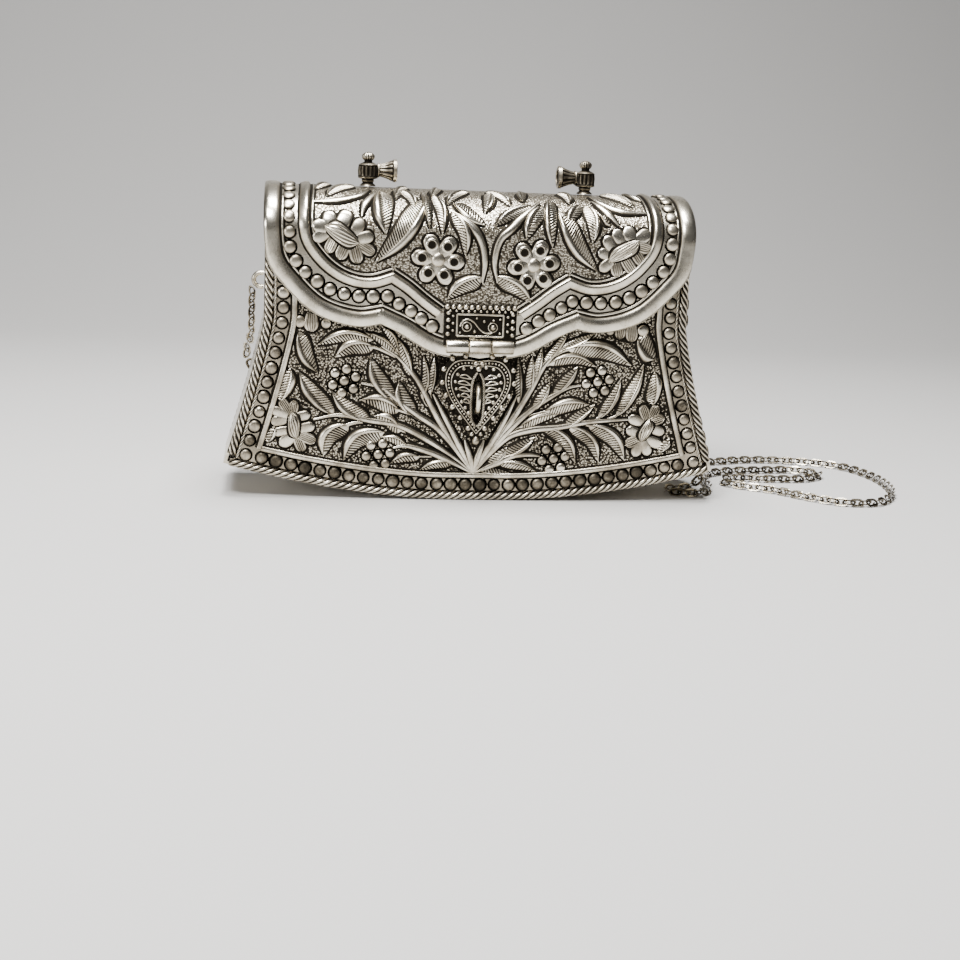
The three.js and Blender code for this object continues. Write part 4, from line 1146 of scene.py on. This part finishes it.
def flap():
    bm = new_relief()
    flap_sheet(bm, along=170, across=110)
    thicken(bm)
    for side, tip, section, width, height, shift in EDGE_LINES:
        for points in (side, flip(side)[::-1], tip, flip(tip)[::-1]):
            path = curve_through(points, round(run_length(points) / EDGE_STEP))
            chased_strip(bm, path, section, width, height, even_taper, shift)
    bead = (FLAP_BEAD_PITCH, FLAP_BEAD_RADIUS, BEAD_HEIGHT, FLAP_BEAD_DULL)
    for points in (BEADS_SIDE, flip(BEADS_SIDE)):
        bead_row(bm, points, *bead)
    for points in (BEADS_TIP, flip(BEADS_TIP)):
        bead_row(bm, points, *bead, ends=(False, True))
    for points in FLAP_STEMS:
        path = curve_through(points, round(run_length(points)))
        chased_strip(bm, path, STEM_SECTION, FLAP_STEM_WIDTH, RELIEF, stem_taper)
    for x0, s0, x1, s1, width, bow in FLAP_LEAVES:
        leaf(bm, x0, s0, x1, s1, LEAF_FULL * width, bow)
    for heart, lobes in PEONIES:
        flower(bm, heart, lobes)
    for x, s, turn in DAISIES:
        boss(bm, x, s, DAISY_HEART, DAISY_HEART_HEIGHT)
        for out_x, out_s in ring_of_six(turn):
            edge = (x + DAISY_EDGE * out_x, s + DAISY_EDGE * out_s)
            petal(bm, x, s, *edge, DAISY_PETAL, PETAL_HEIGHT, PLAIN_PETAL)
            boss(bm, x + PIT_RING * out_x, s + PIT_RING * out_s, PIT_RADIUS, PIT_HEIGHT, PIT)
    lay(bm, on_flap)
    hinge_knuckles(bm, 1, FLAP_TAB_LOW, FLAP_TAB_HIGH)
    materials = [rubbed_relief_and_painted_light, matted_ground, plain_sheet]
    return finish(bm, "flap_relief", "flap", materials, ["flap"])


flap()

# Handle lugs: two turned posts screwed to the crest, each with a fluted barrel, a ball on top, and a ribbed
# socket that opens towards the other.
LUG_X = 46
LUG_FOOT = 128.3
SOCKET_UP = 6.6
POST_FLUTES = 14
SOCKET_FLUTES = 12
FLUTE_DARK = 0.85
dulled_fitting = silver("dulled_fitting", clouding=0.6, dent=0.0002)
# Turned profiles: radius, distance along the axis, flute depth, recess.
POST = [
    (3.4, 0, 0, 0.1), (3.2, 0.5, 0, 0), (2.2, 1.3, 0, 0.5), (2.6, 2, 0, 0), (2.6, 2.5, 0, 0.1),
    (2.4, 2.8, 0, 0.8), (4, 3.2, 0, 0.1), (4.2, 3.6, 0, 0), (4.1, 4, 0, 0.6), (4.1, 4.3, 0.14, 0),
    (4.3, 6.3, 0.14, 0), (4.1, 8, 0.14, 0), (4, 8.3, 0, 0.6), (4, 8.7, 0, 0), (3.2, 9.2, 0, 0.1),
    (1.7, 9.8, 0, 0.7), (1.7, 10.5, 0, 0.8), (2.3, 10.9, 0.1, 0.1), (2.7, 11.7, 0.14, 0),
    (2.7, 12.5, 0.14, 0), (2.1, 13.2, 0.1, 0), (1, 13.8, 0, 0), (0, 14, 0, 0),
]
SOCKET = [
    (2.2, 0, 0, 0.8), (2.2, 3.8, 0, 0.7), (3, 4.1, 0, 0), (3, 4.6, 0, 0.2), (2.6, 4.9, 0.12, 0.2),
    (3, 6.6, 0.16, 0), (3.7, 8.6, 0.16, 0), (4.3, 9.8, 0.12, 0), (4.2, 10.2, 0, 0.7), (4.7, 10.5, 0, 0),
    (4.7, 11.8, 0, 0), (4.3, 12, 0, 0), (3, 12, 0, 0.3), (2.8, 11, 0, 0.9), (2.6, 7, 0, 1), (0, 6.5, 0, 1),
]


def turned(profile, flutes, around=56):
    """A lathe-turned part up the Z axis, with flutes filed along it."""
    part = new_relief()
    dark = part.verts.layers.float["recess"]
    points = []
    for radius, far, cut, recess in profile:
        v = part.verts.new((radius, 0, far))
        v[dark] = recess
        points.append(v)
    lathe(part, points, around)
    fars = {round(far, 2): cut for _, far, cut, _ in profile}
    for v in part.verts:
        cut = fars[round(v.co.z, 2)]
        valley = (0.5 - 0.5 * math.cos(flutes * math.atan2(v.co.y, v.co.x))) ** 2
        v.co.x *= 1 - cut * valley
        v.co.y *= 1 - cut * valley
        if cut:
            v[dark] = max(v[dark], FLUTE_DARK * valley)
    bmesh.ops.recalc_face_normals(part, faces=part.faces)
    return part


def lug(name, side):
    bm = new_relief()
    post = turned(POST, POST_FLUTES)
    bmesh.ops.translate(post, vec=(side * LUG_X, 0, LUG_FOOT), verts=post.verts)
    join_to(bm, post)
    socket = turned(SOCKET, SOCKET_FLUTES, around=48)
    turn = Matrix.Rotation(-side * math.pi / 2, 4, "Y")
    place = Matrix.Translation((side * LUG_X, 0, LUG_FOOT + SOCKET_UP))
    bmesh.ops.transform(socket, matrix=place @ turn, verts=socket.verts)
    join_to(bm, socket)
    return finish(bm, name + "_turned", "flap", [dulled_fitting], [name])


lug("lug_left", -1)
lug("lug_right", 1)

# Clasp plate: a blackened plate on the flap's tip, edged at its top and sides with two rows of granules. A
# wire frame inside them holds a scroll and two larger granules in collars, all soldered on. Two knuckles of
# the clasp hang from its lower edge.
PLATE_HALF = 15
PLATE_LOW = 66
PLATE_HIGH = 82.7
PLATE_BACK = 28.1
PLATE_FRONT = 29.6
PLATE_BEVEL = 0.3
CLASP_RADIUS = 2.8
CLASP_Y = -30.9
CLASP_Z = 65.8
CLASP_HALF = 14
KNUCKLE_FROM = 4.8
NOTCH_TOP = 68.9
# Wire frame and scroll on the plate: x, z.
FRAME_WIRE = [(-9.7, 70), (-9.7, 78.9), (9.5, 78.9), (9.5, 70), (-9.7, 70)]
FRAME_RADIUS = 0.45
SCROLL = [
    (-8.4, 74), (-7.3, 76.2), (-5, 77), (-2.6, 75.8), (-0.6, 73.4), (1.2, 71.9), (3.2, 71.3), (5, 71.6),
]
SCROLL_RADIUS = 0.38
# Rows of granules round the frame: start x, z, end x, z, pitch, radius.
GRANULE_ROWS = [
    (-13.9, 81.9, 13.9, 81.9, 2.5, 1.1), (-12.6, 80.3, 12.6, 80.3, 2.5, 0.62),
    (-13.4, 70.8, -13.4, 79.4, 2.8, 0.95), (-11.4, 72.2, -11.4, 78.2, 2.8, 0.6),
    (13.3, 70.8, 13.3, 79.4, 2.8, 0.95), (11.3, 72.2, 11.3, 78.2, 2.8, 0.6),
]
# Granules inside the frame: x, z, radius. The first two sit in collars of wire.
FRAME_GRANULES = [
    (-5.6, 73.9, 1.05), (5.2, 73.8, 1.2), (1.5, 76.2, 0.7), (-2.3, 72, 0.7), (5.3, 76.7, 0.5),
    (-8.4, 71.4, 0.5), (8.1, 71.4, 0.5), (8.1, 77.2, 0.5), (-1.6, 77.4, 0.45),
]
COLLAR = 1.85
COLLAR_RADIUS = 0.28
WIRE_STEP = 0.6
GRANULE_STRAY = (0.92, 1.08)
PLATE_DARK = 0.85
blackened_plate = silver("blackened_plate", clouding=0.2, dent=0.0002)


def granule(bm, x, s, radius, lift=0.45):
    """A melted grain of silver on the flat pattern, dark where it meets the plate."""
    part = new_relief()
    dark = part.verts.layers.float["recess"]
    bmesh.ops.create_icosphere(part, subdivisions=2, radius=radius)
    for v in part.verts:
        v[dark] = max(0, 0.5 - 0.9 * v.co.z / radius)
    bmesh.ops.translate(part, vec=(x, s, lift * radius), verts=part.verts)
    join_to(bm, part)


def soldered_wire(bm, points, radius, steps=0, lift=0.3):
    """Round wire laid on the flat pattern."""
    count = steps or max(4, round(run_length(points) / WIRE_STEP))
    path = curve_through(points, count)
    part = new_relief()
    dark = part.verts.layers.float["recess"]
    bmesh.ops.create_circle(part, cap_ends=False, radius=radius, segments=8)
    bmesh.ops.spin(
        part, geom=part.verts[:] + part.edges[:], axis=(0, 0, 1), cent=(0, 0, 0), dvec=(0, 0, 1), angle=0,
        steps=count)
    bend_along(part, [(x, s, lift * radius) for x, s in path], 1)
    for v in part.verts:
        v[dark] = max(0, 0.6 - 0.9 * (v.co.z - lift * radius) / radius)
    close_wire(part)
    join_to(bm, part)


def granule_row(bm, points, pitch, radius):
    path = curve_through(points, max(1, round(run_length(points) / pitch)))
    for x, s in path:
        granule(bm, x, s, radius * HAND.uniform(*GRANULE_STRAY))


def on_plate(x, s, h):
    return np.column_stack([x, -PLATE_FRONT - h, s])


def clasp_plate():
    bm = new_relief()
    for x0, z0, x1, z1, pitch, radius in GRANULE_ROWS:
        granule_row(bm, [(x0, z0), (x1, z1)], pitch, radius)
    for start, end in zip(FRAME_WIRE, FRAME_WIRE[1:]):
        soldered_wire(bm, [start, end], FRAME_RADIUS, steps=6)
    soldered_wire(bm, SCROLL, SCROLL_RADIUS)
    for x, z, _ in FRAME_GRANULES[:2]:
        turns = np.linspace(0, 2 * math.pi, 17)
        ring = [(x + COLLAR * math.cos(turn), z + COLLAR * math.sin(turn)) for turn in turns]
        soldered_wire(bm, ring, COLLAR_RADIUS, steps=24)
    for row in FRAME_GRANULES:
        granule(bm, *row)
    lay(bm, on_plate)
    plate = new_relief()
    block(
        plate, (-PLATE_HALF, -PLATE_FRONT, NOTCH_TOP), (PLATE_HALF, -PLATE_BACK, PLATE_HIGH),
        bevel=PLATE_BEVEL)
    for side in (-1, 1):
        ends = sorted((side * PLATE_HALF, side * KNUCKLE_FROM))
        top = NOTCH_TOP + PLATE_BEVEL
        block(plate, (ends[0], -PLATE_FRONT, PLATE_LOW), (ends[1], -PLATE_BACK, top), bevel=0.2)
    dark = plate.verts.layers.float["recess"]
    for v in plate.verts:
        v[dark] = PLATE_DARK
    join_to(bm, plate, 1)
    for side in (-1, 1):
        ends = sorted((side * CLASP_HALF, side * KNUCKLE_FROM))
        rod(bm, *ends, CLASP_Y, CLASP_Z, CLASP_RADIUS, sides=28)
    return finish(bm, "clasp_granules", "flap", [drawn_wire, blackened_plate], ["clasp_plate"])


clasp_plate()

# Clasp pin: a drawn wire of white metal pushed through the three knuckles of the clasp, two of the plate
# and one of the hasp, and cut flush. The hasp swings on it.
CLASP_PIN = 0.75


def clasp_pin():
    bm = new_relief()
    rod(bm, -CLASP_HALF, CLASP_HALF, CLASP_Y, CLASP_Z, CLASP_PIN, sides=16)
    return finish(bm, "clasp_wire", "flap", [drawn_wire], ["clasp_pin"])


clasp_pin()

# Hasp: a pierced heart that hangs from the middle knuckle over the staple. Its blackened plate carries two
# heart-shaped wires with fine beads between them, loops of wire and granules inside, a twisted wire round
# the slot, and larger granules along the edge, with a ball at the tip.
HASP_BACK = 28.3
HASP_FRONT = 29.8
SLOT_HALF = 1.7
SLOT_LOW = 33
SLOT_HIGH = 53.5
HEART_MIDDLE = 47
# Right half of the heart, from the notch to the tip: x, z.
HEART = [
    (0, 61), (5.5, 61.6), (11, 60.4), (14.4, 56), (14.8, 50.5), (12.6, 44.4), (8.4, 38.2), (4, 32.6),
    (0, 27.5),
]
# Leaf-shaped loops of wire in the right half: root x, z, reach.
LOOPS = [(2.8, 52.4, 5), (2.9, 49.8, 5.6), (2.9, 47.2, 5.2), (2.9, 44.6, 4.2), (2.8, 42.2, 3.2)]
# Granules of the right half: x, z.
HEART_GRANULES = [
    (3, 57.2), (6.2, 56.6), (8.6, 54.2), (9.5, 51.2), (9, 48.2), (7.9, 45.4), (6.6, 42.8), (5, 40.4),
    (3.6, 38.2),
]
# Granules under the notch of the heart: x, z, radius.
TOP_GRANULES = [(-1.3, 58.9, 1.1), (1.3, 58.9, 1.1), (0, 56.6, 1.25)]
# Twisted wall of the slot, right side: x, z.
SLOT_WALL = [(0.5, 32.4), (2.2, 35.5), (2.6, 40), (2.6, 47), (2.1, 52), (0.6, 55)]
WALL_RADIUS = 0.6
WALL_STRANDS = 4
WALL_LAY = 4
WALL_LIFT = 0.3
# Lines about the heart, as shares of its outline: the outer wire, the inner wire, the fine beads between
# them, and the granules outside.
OUTER_WIRE = 0.9
INNER_WIRE = 0.745
BETWEEN_WIRES = 0.823
OUTSIDE = 1.01
HEART_WIRE = 0.26
FINE_BEAD = 0.45
HALF_BEADS = 29
LOOP_WIRE = 0.3
LOOP_TOP = 1.7
LOOP_END = 0.9
LOOP_LOW = 0.2
HEART_GRANULE = 0.85
HEART_STRAY = (0.9, 1.1)
OUTSIDE_GRANULE = 1.15
OUTSIDE_LIFT = 0.2
HALF_GRANULES = 9
TIP_BALL = 1.6
TIP_Z = 26.3
TIP_SIDE = 1.9
TIP_SIDE_UP = 3
TIP_SIDE_GRANULE = 0.9
REVERSE_DARK = 0.3
KNUCKLE_HALF = KNUCKLE_FROM - 0.3
STRAP_LOW = 59.5
STRAP_HIGH = 65


def heart_line(share, steps):
    """The heart's outline drawn in or out about its middle, as one closed run."""
    right = [(x * share, HEART_MIDDLE + (z - HEART_MIDDLE) * share) for x, z in HEART]
    half = curve_through(right, steps)
    return np.vstack([half, np.array(flip(half))[::-1][1:]])


def on_hasp(x, s, h):
    return np.column_stack([x, -HASP_FRONT - h, s])


def hasp():
    bm = new_relief()
    for share in (OUTER_WIRE, INNER_WIRE):
        soldered_wire(bm, heart_line(share, steps=50), HEART_WIRE, steps=120)
    for x, s in heart_line(BETWEEN_WIRES, HALF_BEADS)[:-1]:
        granule(bm, x, s, FINE_BEAD)
    for sign in (-1, 1):
        for x, z, reach in LOOPS:
            half = x + 0.5 * reach
            top = (half, z + LOOP_TOP)
            low = (half, z + LOOP_LOW)
            loop = [(x, z), top, (x + reach, z + LOOP_END), low, (x, z)]
            soldered_wire(bm, [(sign * a, b) for a, b in loop], LOOP_WIRE)
        for x, z in HEART_GRANULES:
            granule(bm, sign * x, z, HEART_GRANULE * HAND.uniform(*HEART_STRAY))
        wall = [(sign * x, z, WALL_LIFT) for x, z in SLOT_WALL]
        join_to(bm, twisted_wire(wall, WALL_RADIUS, WALL_STRANDS, WALL_LAY, ROPE_STEP))
    for x, z, radius in TOP_GRANULES:
        granule(bm, x, z, radius)
    for x, z in heart_line(OUTSIDE, HALF_GRANULES)[1:-1]:
        granule(bm, x, z, OUTSIDE_GRANULE, OUTSIDE_LIFT)
    for x in (-TIP_SIDE, TIP_SIDE):
        granule(bm, x, TIP_Z + TIP_SIDE_UP, TIP_SIDE_GRANULE)
    granule(bm, 0, TIP_Z, TIP_BALL, lift=0)
    lay(bm, on_hasp)
    plate = new_relief()
    outline = heart_line(1, steps=40)[:-1]
    slot = [(-SLOT_HALF, SLOT_LOW), (SLOT_HALF, SLOT_LOW), (SLOT_HALF, SLOT_HIGH), (-SLOT_HALF, SLOT_HIGH)]
    edges = []
    for ring in (outline, slot):
        corners = [plate.verts.new((x, -HASP_BACK, z)) for x, z in ring]
        edges += [plate.edges.new(pair) for pair in zip(corners, corners[1:] + corners[:1])]
    sheet = bmesh.ops.triangle_fill(plate, edges=edges, use_beauty=True)["geom"]
    faces = [made for made in sheet if isinstance(made, bmesh.types.BMFace)]
    raised = bmesh.ops.extrude_face_region(plate, geom=faces)["geom"]
    moved = [made for made in raised if isinstance(made, bmesh.types.BMVert)]
    bmesh.ops.translate(plate, vec=(0, HASP_BACK - HASP_FRONT, 0), verts=moved)
    bmesh.ops.recalc_face_normals(plate, faces=plate.faces)
    dark = plate.verts.layers.float["recess"]
    for v in plate.verts:
        v[dark] = REVERSE_DARK
    for v in moved:
        v[dark] = PLATE_DARK
    join_to(bm, plate, 1)
    rod(bm, -KNUCKLE_HALF, KNUCKLE_HALF, CLASP_Y, CLASP_Z, CLASP_RADIUS, sides=28)
    block(
        bm, (-KNUCKLE_HALF, -HASP_FRONT, STRAP_LOW), (KNUCKLE_HALF, -HASP_BACK, STRAP_HIGH),
        bevel=PLATE_BEVEL)
    return finish(bm, "hasp_filigree", "hasp", [drawn_wire, blackened_plate], ["hasp"])


hasp()

# Floor: a pale sheet of matt paper that the clutch stands on, which sweeps up behind it in one wide bend
# to a wall. Sizes are in metres from here on.
FLOOR = (0.5, 0.49, 0.475, 1)
FLOOR_ROUGHNESS = 0.7
FLOOR_HALF = 4
FLOOR_NEAR = -4
FLOOR_FAR = 0.5
SWEEP = 0.7
WALL_TOP = 4


def floor():
    turns = np.linspace(0, math.pi / 2, 25)
    run = [(FLOOR_NEAR, 0)]
    run += [(FLOOR_FAR + SWEEP * math.sin(turn), SWEEP - SWEEP * math.cos(turn)) for turn in turns]
    run += [(FLOOR_FAR + SWEEP, WALL_TOP)]
    bm = bmesh.new()
    made, i, j = grid_steps(bm, 1, len(run) - 1)
    for v, side, row in zip(made, i, j):
        v.co = (FLOOR_HALF * (2 * side - 1), *run[row])
    for face in bm.faces:
        face.smooth = True
    mesh = bpy.data.meshes.new("floor")
    bm.to_mesh(mesh)
    bm.free()
    paper = bpy.data.materials.new("pale_floor")
    paper.use_nodes = True
    shader = paper.node_tree.nodes["Principled BSDF"]
    shader.inputs["Base Color"].default_value = FLOOR
    shader.inputs["Roughness"].default_value = FLOOR_ROUGHNESS
    mesh.materials.append(paper)
    sheet = bpy.data.objects.new("floor", mesh)
    bpy.context.scene.collection.objects.link(sheet)


floor()

# Light: a soft box above and to the left in front, a larger one overhead, a fainter one low on the left, and
# a dim grey room all round.
# Soft boxes: name, place, what they face, size, watts.
SOFT_BOXES = [
    ("key", (-0.22, -0.45, 0.75), (0, 0, 0.08), 0.28, 14),
    ("top", (0, 0, 0.85), (0, 0, 0.1), 0.35, 18),
    ("side", (-0.9, -0.6, 0.3), (0, 0, 0.07), 0.3, 5),
]
ROOM = (0.62, 0.62, 0.63, 1)
ROOM_STRENGTH = 0.1


def soft_box(name, place, aim, size, watts):
    lamp = bpy.data.lights.new(name, "AREA")
    lamp.size = size
    lamp.energy = watts
    holder = bpy.data.objects.new(name, lamp)
    holder.location = place
    holder.rotation_euler = (Vector(aim) - Vector(place)).to_track_quat("-Z", "Y").to_euler()
    bpy.context.scene.collection.objects.link(holder)


for row in SOFT_BOXES:
    soft_box(*row)
room = bpy.data.worlds.new("room")
room.use_nodes = True
room.node_tree.nodes["Background"].inputs["Color"].default_value = ROOM
room.node_tree.nodes["Background"].inputs["Strength"].default_value = ROOM_STRENGTH
bpy.context.scene.world = room

# Camera: at the photograph's place, a little to the left of the clutch and just above its crest, rolled and
# aimed so that the clutch lies in the frame where the photograph has it.
TARGET = Vector((0, 0, 0.064))
AZIMUTH = math.radians(-7.2)
ELEVATION = math.radians(7)
DISTANCE = 0.7
ROLL = math.radians(2.43)
AIM_RIGHT = 0.0092
AIM_DOWN = 0.0847
LENS = 60.9
SENSOR = 36


def camera():
    level = math.cos(ELEVATION)
    back = Vector((level * math.sin(AZIMUTH), -level * math.cos(AZIMUTH), math.sin(ELEVATION)))
    right = (-back).cross(Vector((0, 0, 1))).normalized()
    aim = (-back + AIM_RIGHT * right - AIM_DOWN * right.cross(-back)).normalized()
    right = aim.cross(Vector((0, 0, 1))).normalized()
    up = right.cross(aim)
    across = right * math.cos(ROLL) + up * math.sin(ROLL)
    upright = up * math.cos(ROLL) - right * math.sin(ROLL)
    lens = bpy.data.cameras.new("camera")
    lens.lens = LENS
    lens.sensor_width = SENSOR
    lens.clip_start = 0.01
    holder = bpy.data.objects.new("camera", lens)
    turn = Matrix((across, upright, -aim)).transposed().to_4x4()
    holder.matrix_world = Matrix.Translation(TARGET + DISTANCE * back) @ turn
    bpy.context.scene.collection.objects.link(holder)
    bpy.context.scene.camera = holder


camera()
